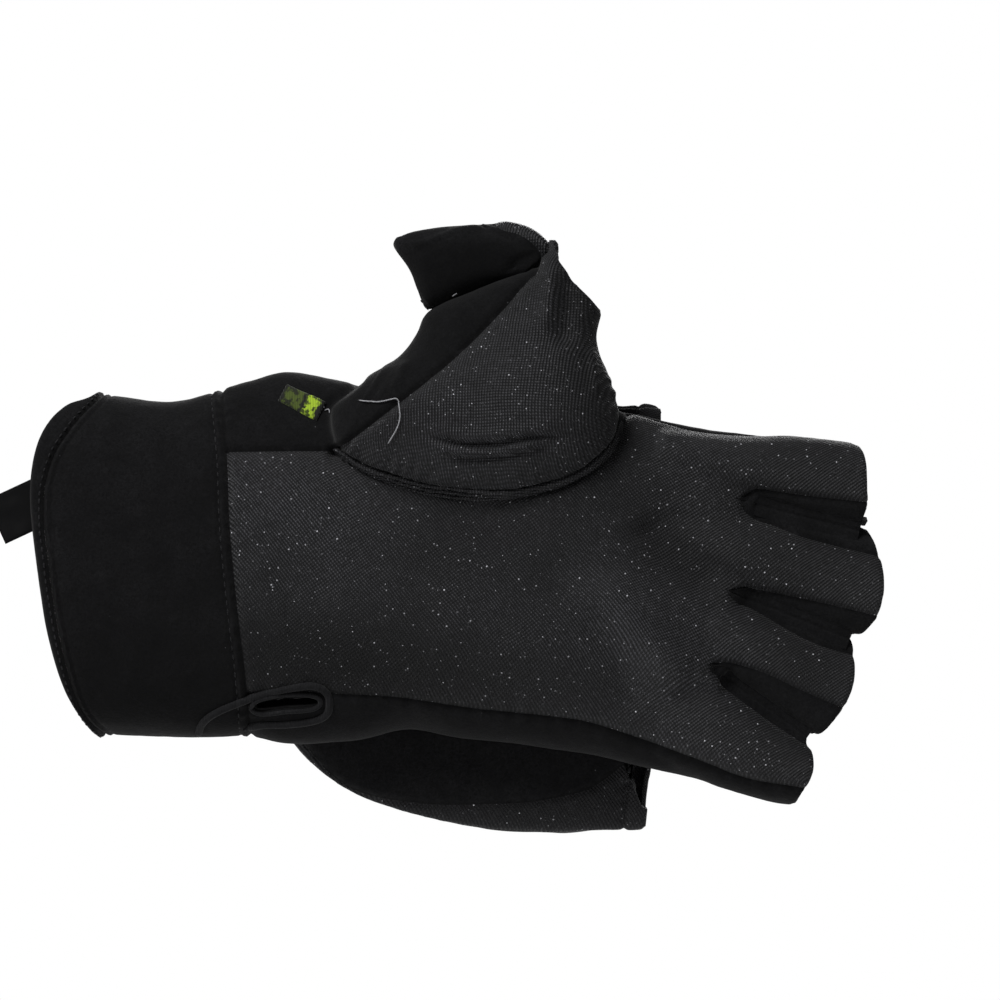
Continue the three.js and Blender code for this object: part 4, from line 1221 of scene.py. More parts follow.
def makeSparkle():
    # Tiny bright specks strewn at random
    tree, start, end = group("sparkle", [
        ("Vector", "NodeSocketVector", None), ("Spacing", "NodeSocketFloat", 0.0019),
        ("Radius", "NodeSocketFloat", 0.18), ("Share", "NodeSocketFloat", 0.3),
    ], [("Mask", "NodeSocketFloat")])
    scale = math2(tree, "DIVIDE", 1.0, start.outputs["Spacing"])
    cells = add(tree, "ShaderNodeTexVoronoi", {"Vector": start.outputs["Vector"], "Scale": scale})
    split = add(tree, "ShaderNodeSeparateColor", {0: cells.outputs["Color"]})
    chosen = math2(tree, "LESS_THAN", split.outputs[0], start.outputs["Share"])
    size2 = product(tree, start.outputs["Radius"], mapRange(tree, split.outputs[1], 0, 1, 0.45, 1.1))
    near = math2(tree, "SUBTRACT", 1.0, math2(tree, "DIVIDE", cells.outputs["Distance"], size2), clamp=True)
    bright = product(tree, near, mapRange(tree, math2(tree, "POWER", split.outputs[2], 1.7), 0, 1, 0.22, 2.2))
    tree.links.new(product(tree, bright, chosen, clamp=True), end.inputs["Mask"])
    return tree


def makeFuzz():
    # The nap of brushed cloth: fine tangled fibre over a soft mottle
    tree, start, end = group("fleeceFuzz", [
        ("Vector", "NodeSocketVector", None), ("Fine", "NodeSocketFloat", 1400.0),
        ("Mottle", "NodeSocketFloat", 120.0),
    ], [("Height", "NodeSocketFloat"), ("Tone", "NodeSocketFloat")])
    fine = add(tree, "ShaderNodeTexNoise", {"Vector": start.outputs["Vector"], "Scale": start.outputs["Fine"],
                                            "Detail": 3.0, "Roughness": 0.65})
    fine.inputs["Distortion"].default_value = 0.8
    soft = add(tree, "ShaderNodeTexNoise", {"Vector": start.outputs["Vector"], "Scale": start.outputs["Mottle"],
                                            "Detail": 3.0})
    height = math2(tree, "ADD", product(tree, fine.outputs["Fac"], 0.7), product(tree, soft.outputs["Fac"], 0.3))
    tree.links.new(height, end.inputs["Height"])
    mottle = mapRange(tree, soft.outputs["Fac"], 0.3, 0.7, 0.4, 1.0)
    tone = product(tree, mapRange(tree, fine.outputs["Fac"], 0.3, 0.72), mottle)
    tree.links.new(tone, end.inputs["Tone"])
    return tree


def makeSeamShadeAndLint():
    # Painted shade in the seam grooves, and lint that gathers by the seams, from the attribute the mesh carries
    tree, start, end = group("seamWear", [
        ("Vector", "NodeSocketVector", None), ("Near", "NodeSocketFloat", 0.0), ("Amount", "NodeSocketFloat", 0.5),
    ], [("Dark", "NodeSocketFloat"), ("Lint", "NodeSocketFloat")])
    grain = add(tree, "ShaderNodeTexNoise", {"Vector": start.outputs["Vector"], "Scale": 260.0, "Detail": 4.0,
                                             "Roughness": 0.7})
    spot = mapRange(tree, grain.outputs["Fac"], 0.56, 0.74)
    tree.links.new(product(tree, start.outputs["Near"], start.outputs["Amount"], clamp=True), end.inputs["Dark"])
    around = math2(tree, "ADD", product(tree, start.outputs["Near"], 0.7), 0.25)
    tree.links.new(product(tree, spot, around, clamp=True), end.inputs["Lint"])
    return tree


gripWeave, sparkle, fleeceFuzz, seamWear = makeGripWeave(), makeSparkle(), makeFuzz(), makeSeamShadeAndLint()


def newMaterial(name, roughness, specular, sheen=0.0, sheenRoughness=0.5):
    material = bpy.data.materials.new(name)
    material.use_nodes = True
    tree = material.node_tree
    shader = tree.nodes["Principled BSDF"]
    shader.inputs["Roughness"].default_value = roughness
    shader.inputs["Specular IOR Level"].default_value = specular
    shader.inputs["Sheen Weight"].default_value = sheen
    shader.inputs["Sheen Roughness"].default_value = sheenRoughness
    place = tree.nodes.new("ShaderNodeTexCoord").outputs["Object"]
    return material, tree, shader, place


def useGroup(tree, which, **values):
    node = tree.nodes.new("ShaderNodeGroup")
    node.node_tree = which
    for key, value in values.items():
        if isinstance(value, bpy.types.NodeSocket):
            tree.links.new(value, node.inputs[key])
        else:
            node.inputs[key].default_value = value
    return node


def carried(tree, name):
    return add(tree, "ShaderNodeAttribute", attribute_name=name).outputs["Fac"]


def layered(tree, colour, layers):
    # Colours laid over one another, each where its mask is
    for mask, amount, over in layers:
        colour = mixColour(tree, product(tree, mask, amount), colour, over)
    return colour


def bumped(tree, shader, height, strength, distance):
    node = add(tree, "ShaderNodeBump", {"Strength": strength, "Distance": distance, "Height": height})
    tree.links.new(node.outputs["Normal"], shader.inputs["Normal"])


def twillMaterial(name, base, light, speck, roughness=0.5, leans=(35.0, -52.0), cross=0.4, spacing=0.0016):
    material, tree, shader, place = newMaterial(name, roughness, 0.32, 0.12, 0.35)
    near = carried(tree, "seamNear")
    toFingers = mapRange(tree, add(tree, "ShaderNodeSeparateXYZ", {0: place}).outputs[0], 0.15, 0.2, 0.85, 0.1)
    weave = useGroup(tree, gripWeave, Vector=place, FirstLean=leans[0], SecondLean=leans[1],
                     Second=toFingers, Cross=cross)
    shadeAndLint = useGroup(tree, seamWear, Vector=place, Near=near, Amount=0.6)
    specks = useGroup(tree, sparkle, Vector=place, Spacing=spacing, Share=speck)
    grain = useGroup(tree, sparkle, Vector=place, Spacing=0.0009, Radius=0.3, Share=0.55)
    cloudy = add(tree, "ShaderNodeTexNoise", {"Vector": place, "Scale": 34.0, "Detail": 4.0})
    cloud = mapRange(tree, cloudy.outputs["Fac"], 0.3, 0.7, 0.35, 0.95)
    # painted light and shade that the mesh carries
    paintedLightValue = carried(tree, "rubbed")
    # the cloudy tone is scaled by the painted light: lighter as painted highlight, darker as painted shade
    cloud = product(tree, cloud, mapRange(tree, paintedLightValue, -1, 1, 0.1, 1.9))
    colour = mixColour(tree, product(tree, weave.outputs["Tone"], cloud), base, light)
    # painted shade: darker where the painted light is negative
    colour = mixColour(tree, mapRange(tree, paintedLightValue, 0, -1, 0.0, 0.7), colour, (0.003, 0.003, 0.0034))
    # painted shade darkens the seam grooves; lint and grain are the cloth's own
    colour = layered(tree, colour, (
        (shadeAndLint.outputs["Dark"], 0.7, (0.004, 0.004, 0.0045)),
        (shadeAndLint.outputs["Lint"], 0.12, (0.16, 0.16, 0.17)),
        (grain.outputs["Mask"], 0.22, (0.3, 0.3, 0.32)),
    ))
    colour = mixColour(tree, specks.outputs["Mask"], colour, (0.75, 0.75, 0.8))
    tree.links.new(colour, shader.inputs["Base Color"])
    rough = mapRange(tree, weave.outputs["Tone"], 0, 1, roughness + 0.14, roughness - 0.08)
    rough = math2(tree, "ADD", rough, mapRange(tree, paintedLightValue, -1, 1, 0.24, -0.1))
    rough = math2(tree, "SUBTRACT", rough, product(tree, specks.outputs["Mask"], 0.3), clamp=True)
    tree.links.new(rough, shader.inputs["Roughness"])
    height = math2(tree, "ADD", weave.outputs["Height"], product(tree, specks.outputs["Mask"], 0.6))
    bumped(tree, shader, height, 0.75, 0.0004)
    return material


def fleeceMaterial(name, base, lighterTone, sheen=0.06, strength=0.6):
    material, tree, shader, place = newMaterial(name, 0.92, 0.1, sheen, 0.55)
    near = carried(tree, "seamNear")
    fuzz = useGroup(tree, fleeceFuzz, Vector=place)
    shadeAndLint = useGroup(tree, seamWear, Vector=place, Near=near, Amount=0.7)
    paintedLightValue = carried(tree, "rubbed")
    # painted sheen and shade: the fibre tone is scaled by the painted light attribute
    paintedSheen = mapRange(tree, paintedLightValue, -1, 1, 0.3, 1.7)
    colour = mixColour(tree, product(tree, fuzz.outputs["Tone"], paintedSheen), base, lighterTone)
    # painted shade: darker where the painted light is negative
    colour = mixColour(tree, mapRange(tree, paintedLightValue, 0, -1, 0.0, 0.7), colour, (0.0015, 0.0015, 0.0017))
    specks = useGroup(tree, sparkle, Vector=place, Spacing=0.0035, Radius=0.07, Share=0.12)
    # painted shade darkens the seam grooves; lint and specks are the cloth's own
    colour = layered(tree, colour, (
        (shadeAndLint.outputs["Dark"], 0.7, (0.002, 0.002, 0.0022)),
        (shadeAndLint.outputs["Lint"], 0.12, (0.09, 0.09, 0.095)),
        (specks.outputs["Mask"], 0.5, (0.3, 0.3, 0.32)),
    ))
    tree.links.new(colour, shader.inputs["Base Color"])
    tree.links.new(mapRange(tree, fuzz.outputs["Tone"], 0, 1, 0.98, 0.85), shader.inputs["Roughness"])
    bumped(tree, shader, fuzz.outputs["Height"], strength, 0.0004)
    return material


def bindingMaterial(name, base, lighterTone):
    # Folded tape, ribbed along its width
    material, tree, shader, place = newMaterial(name, 0.85, 0.14, 0.06, 0.5)
    fuzz = useGroup(tree, fleeceFuzz, Vector=place, Fine=1900.0, Mottle=180.0)
    shadeAndLint = useGroup(tree, seamWear, Vector=place, Near=0.3, Amount=0.4)
    colour = mixColour(tree, fuzz.outputs["Tone"], base, lighterTone)
    colour = mixColour(tree, product(tree, shadeAndLint.outputs["Lint"], 0.2), colour, (0.12, 0.12, 0.125))
    tree.links.new(colour, shader.inputs["Base Color"])
    tree.links.new(mapRange(tree, fuzz.outputs["Tone"], 0, 1, 0.9, 0.7), shader.inputs["Roughness"])
    ribs = add(tree, "ShaderNodeTexWave", {"Vector": place, "Scale": 420.0, "Distortion": 1.5, "Detail": 2.0})
    height = math2(tree, "ADD", fuzz.outputs["Height"], product(tree, ribs.outputs["Fac"], 0.5))
    bumped(tree, shader, height, 0.5, 0.0003)
    return material


def threadMaterial(name, base, light):
    # Twisted yarn
    material, tree, shader, place = newMaterial(name, 0.7, 0.15, 0.1, 0.4)
    twist = add(tree, "ShaderNodeTexWave", {"Vector": place, "Scale": 900.0, "Distortion": 2.0, "Detail": 1.0},
                bands_direction="DIAGONAL")
    fibre = add(tree, "ShaderNodeTexNoise", {"Vector": place, "Scale": 2500.0, "Detail": 2.0})
    colour = mixColour(tree, product(tree, twist.outputs["Fac"], fibre.outputs["Fac"]), base, light)
    tree.links.new(colour, shader.inputs["Base Color"])
    tree.links.new(mapRange(tree, fibre.outputs["Fac"], 0.2, 0.8, 0.75, 0.5), shader.inputs["Roughness"])
    bumped(tree, shader, twist.outputs["Fac"], 0.5, 0.0001)
    return material


twill = twillMaterial("gripTwill", cloth["twill"], cloth["twillLight"], 0.85)
twillThumb = twillMaterial("gripTwillThumb", cloth["twill"], cloth["twillLight"], 0.95, 0.5, (2.0, 87.0), 0.5, 0.0013)
twillQuiet = twillMaterial("gripTwillHood", (0.009, 0.009, 0.01), (0.022, 0.022, 0.0245), 0.3, 0.62)
fleece = fleeceMaterial("fleece", cloth["fleece"], cloth["fleeceWorn"])
lining = fleeceMaterial("lining", cloth["lining"], (0.03, 0.03, 0.032), 0.2, 0.8)
binding = bindingMaterial("binding", cloth["binding"], (0.015, 0.015, 0.0165))
threadLook = threadMaterial("thread", cloth["thread"], (0.035, 0.035, 0.038))
looseLook = threadMaterial("looseThread", cloth["looseThread"], (0.6, 0.6, 0.62))
print("materials made")

# Painted light and shade, as soft patches seen from the palm side: the cloth's colour is made lighter as a painted
# highlight or darker as painted shade:
# X, Z, half length, half width, turn, amount
paintedLightPatches = {
    "palm_panel": [(69, 19, 20, 12, 0, 0.6), (165, -20, 17, 9, -50, 1.1), (70, -27, 34, 15, 0, -1.1),
                   (120, -32, 34, 12, 0, -0.5), (176, 4, 17, 7, -40, -0.5), (208, -12, 18, 60, 0, -0.45),
                   (120, 2, 24, 14, 0, -0.25)],
    "thumb_panel": [(112, 31, 26, 10, 0, 0.85), (152, 56, 8, 20, 0, -0.45), (142, 76, 3, 12, 0, 0.5),
                    (148, 78, 3, 9, 0, -0.5), (128, 58, 20, 18, 0, 0.15)],
    "gusset_index_middle": [(210, 10, 40, 40, 0, 0.7)],
    "gusset_middle_ring": [(210, -15, 40, 40, 0, 0.7)],
    "gusset_ring_little": [(205, -45, 40, 40, 0, 0.7)],
    "hood_back_panel": [(115, -52, 60, 24, 0, 0.9)],
    "hood_palm_panel": [(120, -66, 60, 8, 0, -0.3)],
    "cuff_band": [(30, -36, 40, 18, 0, -0.6), (30, 36, 30, 10, 0, 0.3)],
    "thumb_cap": [(120, 82, 26, 8, 0, -0.8), (110, 91.5, 24, 2.5, 0, 1.4), (99, 84, 3, 14, 0, 0.9)],
    "thumb_back": [(118, 62, 30, 20, 0, -0.3)],
    "hood_hem": [(160, -66, 12, 8, 0, 0.2)],
    "cap_fold": [(136, 90, 8, 8, 0, 0.8)],
}


# Painted light and shade at each point: positive is a painted highlight, negative painted shade
def rubbed(name, co):
    total = np.zeros(len(co))
    for at, up, long, wide, turn, amount in paintedLightPatches.get(name, ()):
        lean = math.radians(turn)
        dx, dz = co[:, 0] - at, co[:, 2] - up
        along = (dx * math.cos(lean) + dz * math.sin(lean)) / long
        across = (dz * math.cos(lean) - dx * math.sin(lean)) / wide
        total += amount * np.exp(-along ** 2 - across ** 2)
    return np.clip(total, -1, 1)


# Panels get their thickness and their cloth
looks = {
    "cuff_band": ("fleece", fleece, lining), "cuff_hem": ("binding", fleece, lining),
    "palm_panel": ("grip_twill", twill, lining), "back_panel": ("fleece", fleece, lining),
    "thumb_panel": ("grip_twill", twillThumb, lining), "thumb_back": ("fleece", fleece, lining),
    "thumb_cap": ("fleece", fleece, twillThumb), "cap_fold": ("grip_twill", twillThumb, lining),
    "hood_back_panel": ("fleece", fleece, lining), "hood_palm_panel": ("grip_twill", twillQuiet, twillQuiet),
    "hood_hem": ("binding", twillQuiet, twillQuiet),
}
looks.update({name: ("fleece", fleece, lining) for name in gussets})
walls = {"cuff_hem": 2.6, "thumb_cap": cap["wall"], "cap_fold": cap["wall"], "hood_back_panel": hood["wall"],
         "hood_palm_panel": hood["wall"], "hood_hem": 2.2}


def freeEdge(mesh):
    f = mesh["fields"]
    if "wrist" not in f:
        return bell(f["mouth"], 0.5) if "mouth" in f else np.zeros(len(mesh["co"]))
    near = np.minimum(np.abs(f["wrist"]), np.minimum(np.abs(f["ends"]), np.abs(f["mouth"])))
    return bell(near, 0.5)


pieces = {}
for name, part in parts.items():
    slot, outerLook, innerLook = looks[name]
    solid = shell(part, walls.get(name, 2.0), 0.45, freeEdge(part))
    made = meshFrom(name + "_cloth", solid["co"], solid["faces"])
    nodes = () if name == "cap_fold" else (name,)
    pieces[name] = finishPiece(made, nodes, (outerLook, innerLook), solid["kind"],
                               # each piece carries its painted light and shade as a point attribute
                               {"seamNear": solid["fields"]["seamNear"], "rubbed": rubbed(name, solid["co"])})

# Bands and trims that lie on the cloth
bands = {
    "thumbShift": 1.5,  # towards the thumb, from the seam under it
    "thumbWide": 4.6,
    "cordGap": 1.6,
    "cordLift": 1.55,
    "cordWide": 1.2,
    "cordHigh": 1.5,
    "slitWide": 2.1,
    "slitHigh": 1.9,
    "slit": [(44.4, -47.2), (45.8, -43.3), (50.3, -40), (58.6, -36.7), (65.6, -34.4), (72.2, -33.2),
             (76.7, -32.8), (80, -34.4), (81.1, -37.8), (80, -41.1), (75.8, -42.8), (69.4, -43.6),
             (61.7, -43.9), (56.9, -45.3)],
}


def smoothPath(points, normals, step, times=6):
    points, normals = spaced(points, normals, step)
    for _ in range(times):
        points[1:-1] = (points[:-2] + 2 * points[1:-1] + points[2:]) / 4
        normals[1:-1] = (normals[:-2] + 2 * normals[1:-1] + normals[2:]) / 4
    return points, normals / np.linalg.norm(normals, axis=1)[:, None]


def tapered(count, ends, least=0.35):
    place = np.arange(count)
    return least + (1 - least) * np.minimum(smoothStep(place, 0, ends), smoothStep(count - 1 - place, 0, ends))


thumbPath = smoothLine(placed(seams["thumb"][:13]), 1.0)
turnBy = np.gradient(thumbPath, axis=0)
turnBy /= np.linalg.norm(turnBy, axis=1)[:, None]
towardThumb = np.stack([-turnBy[:, 1], turnBy[:, 0]], 1)
points, normals = castPath(skinTree, thumbPath + towardThumb * bands["thumbShift"], -1)
points, normals = smoothPath(points, normals, 0.5, 120)
rollPoints, rollNormals = points, normals
widths = tapered(len(points), 50, 0.45)
highs = tapered(len(points), 26, 0.5)
_, across, out = pathFrame(points, normals)
place = np.arange(len(points))
solids = [sweep(points, normals, roundProfile(bands["thumbWide"] + 0.4, 2.2, 20, 0.1), widths, highs) + (1.0,)]
for k in (-1, 0, 1):
    uneven = 0.12 * np.sin(place * 0.55 + k * 2.1) * np.sin(place * 0.13 + k)
    lift = (bands["cordLift"] + uneven) * highs
    cord = points + across * (k * bands["cordGap"] * widths)[:, None] + out * lift[:, None]
    profile = roundProfile(bands["cordWide"], bands["cordHigh"], 12)
    solids.append(sweep(cord, normals, profile, widths, highs) + (0.0,))
shift = np.cumsum([0] + [len(s[0]) for s in solids[:-1]])
co, faces = np.concatenate([s[0] for s in solids]), np.concatenate([s[1] + n for s, n in zip(solids, shift)])
# painted shade on the roll's base between the cords, painted highlight on the cords
shadedBase = np.concatenate([np.full(len(s[0]), s[2]) for s in solids])
solid = meshFrom("thumb_seam_roll", co, faces)
finishPiece(solid, ("thumb_seam",), (twillThumb,), None, {"seamNear": shadedBase, "rubbed": 0.7 - shadedBase})

points, normals = castPath(skinTree, smoothLine(bands["slit"], 0.8), -1)
points, normals = smoothPath(points, normals, 0.45, 10)
profile = roundProfile(bands["slitWide"], bands["slitHigh"], 14, 0.3)
co, faces = sweep(points, normals, profile, tapered(len(points), 8, 0.5), tapered(len(points), 8, 0.4))
finishPiece(meshFrom("slit_binding_tape", co, faces), ("slit_binding",), (binding,))
loop = stripOutline(slitLine, 4.6)
points, normals = castPath(skinTree, resampled(np.concatenate([loop, loop[:1]]), 0.5), -1)
points, normals = smoothPath(points, normals, 0.45, 4)
co, faces = sweep(points, normals, roundProfile(1.3, 1.3, 12, 0.15))
finishPiece(meshFrom("slit_inner_tape", co, faces), (), (binding,))

# A soft fold lies along the foot of each gusset
creases = {
    "before": 2,  # starts this far before the fork
    "end": 233,
    "step": 0.8,
    "side": 2.7,  # the two rays that find the stalls beside it
    "deepest": 2,  # a hit further back than this is no stall
    "half": 3.1,
    "foot": 2.6,
    "sink": 0.15,
    "bowl": 0.25,
    "valley": 0.4,
    "below": 0.9,
}
for k, name in enumerate(("index", "middle", "ring")):
    reach = np.arange(alongHand(form["creaseStart"][k]) - creases["before"], creases["end"], creases["step"])
    ups = np.interp(reach, alongHand(stallRows[:, 0]), stallRows[:, 4 + k] * size["palmWidth"])
    points = []
    for x, z in zip(reach, ups):
        sides = (-creases["side"], creases["side"], 0)
        hits = [skinTree.ray_cast(Vector((x, -200, z + s)), Vector((0, 1, 0)))[0] for s in sides]
        if None not in hits and max(hits[0][1], hits[1][1]) < creases["deepest"]:
            points.append((hits[0] + hits[1]) / 2)
    points = np.array(points)
    points, normals = smoothPath(points, np.tile([0.0, -1.0, 0.0], (len(points), 1)), 0.6, 6)
    half, foot = creases["half"], creases["foot"]
    profile = []
    for a in np.linspace(-half, half, 30):
        valley = creases["bowl"] * (a / half) ** 2 - creases["valley"] * math.exp(-(a / 0.5) ** 2)
        profile.append((a, valley - creases["sink"]))
    profile += [(a, -creases["below"]) for a in np.linspace(foot, -foot, 8)]
    fade = tapered(len(points), 12, 0.1)
    fade[len(points) // 2:] = 1
    co, faces = sweep(points, normals, profile, fade)
    # a little painted light lifts the shade in the gusset crease
    finishPiece(meshFrom("gusset_crease_" + name, co, faces), (), (fleece,), None,
                {"seamNear": np.full(len(co), 0.1), "rubbed": np.full(len(co), 0.4)})


def slabFaces(co, across, up):
    # Triangles of a thin slab whose points come as two grids, the outer face's first
    wide, n = across + 1, (across + 1) * (up + 1)
    quads = []
    for j in range(up):
        for i in range(across):
            a = j * wide + i
            quads += [(a, a + 1, a + 1 + wide, a + wide), (n + a + wide, n + a + 1 + wide, n + a + 1, n + a)]
    loop = list(range(wide)) + [j * wide + wide - 1 for j in range(1, up + 1)]
    loop += [up * wide + i for i in range(wide - 2, -1, -1)] + [j * wide for j in range(up - 1, 0, -1)]
    for k, a in enumerate(loop):
        b = loop[(k + 1) % len(loop)]
        quads.append((b, a, n + a, n + b))
    quads = np.array(quads)
    tri = np.concatenate([quads[:, [0, 1, 2]], quads[:, [0, 2, 3]]])
    return tri[:, ::-1] if signedVolume(co, tri) < 0 else tri


def turned(a, b, lean):
    return a * math.cos(lean) - b * math.sin(lean), a * math.sin(lean) + b * math.cos(lean)


# The plain two-tone patch on the thumb side
patch = {
    "at": (73.3, 44.9),
    "long": 12.0,
    "high": 5.4,
    "turn": -26.0,
    "thick": 0.75,
    "edge": 0.35,  # how much the border is rounded off, over edgeWide
    "edgeWide": 0.6,
    "sink": 0.25,
    "bow": 0.06,
    "across": 40,
    "up": 22,
}


def patchMesh():
    lean = math.radians(patch["turn"])
    across, up = patch["across"], patch["up"]
    shares = [(i / across, j / up) for j in range(up + 1) for i in range(across + 1)]
    top = []
    for share, rise in shares:
        u, v = share - 0.5, rise - 0.5
        x, z = turned(u * patch["long"], v * patch["high"] * (1 + patch["bow"] * math.sin(u * 5)), lean)
        top.append((patch["at"][0] + x, patch["at"][1] + z))
    points, normals = castPath(skinTree, top, -1)
    normals = np.broadcast_to(normals.mean(0) / np.linalg.norm(normals.mean(0)), normals.shape)
    shares = np.array(shares)
    border = np.minimum(shares, 1 - shares) * (patch["long"], patch["high"])
    edge = patch["edge"] * np.clip(border.min(1) / patch["edgeWide"], 0, 1) ** 0.5
    outer = points + normals * (patch["thick"] - patch["edge"] + edge)[:, None]
    co = np.concatenate([outer, points - normals * patch["sink"]])
    return co, slabFaces(co, across, up), np.concatenate([shares, shares])


def patchMaterial():
    material, tree, shader, place = newMaterial("patchWeave", 0.72, 0.25, 0.2, 0.5)
    tone = carried(tree, "along")
    edge = add(tree, "ShaderNodeTexNoise", {"Vector": place, "Scale": 500.0, "Detail": 3.0})
    shifted = math2(tree, "ADD", tone, mapRange(tree, edge.outputs["Fac"], 0.2, 0.8, -0.09, 0.09))
    rows = add(tree, "ShaderNodeTexWave", {"Vector": place, "Scale": 700.0, "Distortion": 1.0, "Detail": 1.0})
    light = mapRange(tree, shifted, 0.56, 0.6)
    colour = mixColour(tree, light, cloth["patchDark"], cloth["patchLight"])
    # dark ground shows at the ends, between the two colours and between the stitches
    ends = math2(tree, "ABSOLUTE", math2(tree, "SUBTRACT", shifted, 0.5))
    middle = mapRange(tree, math2(tree, "ABSOLUTE", math2(tree, "SUBTRACT", shifted, 0.55)), 0.02, 0.07, 1.0, 0.0)
    gaps = add(tree, "ShaderNodeTexNoise", {"Vector": place, "Scale": 650.0, "Detail": 2.0})
    ground = math2(tree, "MAXIMUM", math2(tree, "MAXIMUM", mapRange(tree, ends, 0.36, 0.42), middle),
                   mapRange(tree, gaps.outputs["Fac"], 0.5, 0.6, 0.0, 0.9))
    colour = mixColour(tree, ground, colour, (0.006, 0.007, 0.004))
    tree.links.new(colour, shader.inputs["Base Color"])
    tree.links.new(mapRange(tree, rows.outputs["Fac"], 0, 1, 0.85, 0.6), shader.inputs["Roughness"])
    bumped(tree, shader, rows.outputs["Fac"], 0.6, 0.00025)
    return material


co, faces, shares = patchMesh()
sidePatch = meshFrom("side_patch", co, faces)
finishPiece(sidePatch, ("thumb_side_patch",), (patchMaterial(),), None, {"along": shares[:, 0]})

# The bare label that hangs out from behind the wrist hem
label = {
    "at": (-1.1, 16.4),
    "long": 15.0,
    "tuck": 4.5,
    "high": 13.2,
    "turn": 25.0,
    "thick": 0.8,
    "curl": 0.9,
    "wave": 0.35,
    "across": 36,
    "up": 26,
}


def labelMesh():
    low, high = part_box("wrist_label")
    level = (low[1] + high[1]) * 500
    lean = math.radians(label["turn"])
    co = []
    for face in (-0.5, 0.5):
        for j in range(label["up"] + 1):
            for i in range(label["across"] + 1):
                u, v = i / label["across"], j / label["up"] - 0.5
                border = min(u * label["long"], (1 - u) * label["long"], (0.5 - abs(v)) * label["high"])
                thick = label["thick"] * min(1, 0.45 + border)
                x, z = turned(label["tuck"] - u * label["long"], v * label["high"], lean)
                curl = label["curl"] * max(0, u - 0.45) ** 2 + label["wave"] * math.sin(v * 3.2 + 0.6) * u
                co.append((label["at"][0] + x, level + face * thick + curl, label["at"][1] + z))
    co = np.array(co)
    return co, slabFaces(co, label["across"], label["up"])


def ribbonMaterial():
    material, tree, shader, place = newMaterial("ribbon", 0.6, 0.06)
    weft = add(tree, "ShaderNodeTexWave", {"Vector": place, "Scale": 1100.0, "Distortion": 0.6, "Detail": 1.0},
               bands_direction="Z")
    lighterTone = add(tree, "ShaderNodeTexNoise", {"Vector": place, "Scale": 220.0, "Detail": 4.0})
    worked = product(tree, weft.outputs["Fac"], lighterTone.outputs["Fac"])
    colour = mixColour(tree, worked, cloth["ribbon"], (0.009, 0.009, 0.01))
    tree.links.new(colour, shader.inputs["Base Color"])
    tree.links.new(mapRange(tree, lighterTone.outputs["Fac"], 0.3, 0.7, 0.45, 0.65), shader.inputs["Roughness"])
    bumped(tree, shader, weft.outputs["Fac"], 0.5, 0.00012)
    return material


co, faces = labelMesh()
labelRibbon = finishPiece(meshFrom("label_ribbon", co, faces), ("wrist_label",), (ribbonMaterial(),))

# Loose threads
threads = {
    "stray": ([(89.7, 45), (95, 44.6), (98.3, 45.3), (99.9, 45.6), (100.8, 42.5), (100.2, 38.3),
               (97.5, 33.6)], 0.34, 0.55),
    "capSpeck": ([(114.6, 74.1), (115.9, 74.9)], 0.5, 0.3),
    "patchBitOne": ([(77.8, 44.2), (79.4, 43.4)], 0.4, 0.3),
    "patchBitTwo": ([(79.5, 42.6), (80.9, 42.9), (81.3, 41.9)], 0.35, 0.3),
}
capTree = BVHTree.FromPolygons(pocket["co"].tolist(), pocket["faces"].tolist())
for name, (line, thick, lift) in threads.items():
    tree = capTree if name == "capSpeck" else skinTree
    points, normals = castPath(tree, smoothLine(line, 0.4), -1)
    points, normals = smoothPath(points, normals, 0.35, 3)
    points = points + normals * lift
    ends = tapered(len(points), 3, 0.5)
    co, faces = sweep(points, normals, roundProfile(thick, thick, 8), ends, ends)
    finishPiece(meshFrom("thread_" + name, co, faces), (), (looseLook,))
print("trims laid")

# Stitches, laid by Geometry Nodes along rows of points
stitches = {
    "cuffRow": {"step": 2.5, "long": 1.7, "wide": 0.42, "high": 0.34, "seed": 3},
    "hemRow": {"step": 2.2, "long": 1.4, "wide": 0.5, "high": 0.4, "seed": 4},
    "rollRow": {"step": 1.9, "long": 1.1, "wide": 0.42, "high": 0.4, "seed": 5},
    "hoodRow": {"step": 2.6, "long": 1.8, "wide": 0.45, "high": 0.36, "seed": 6},
}


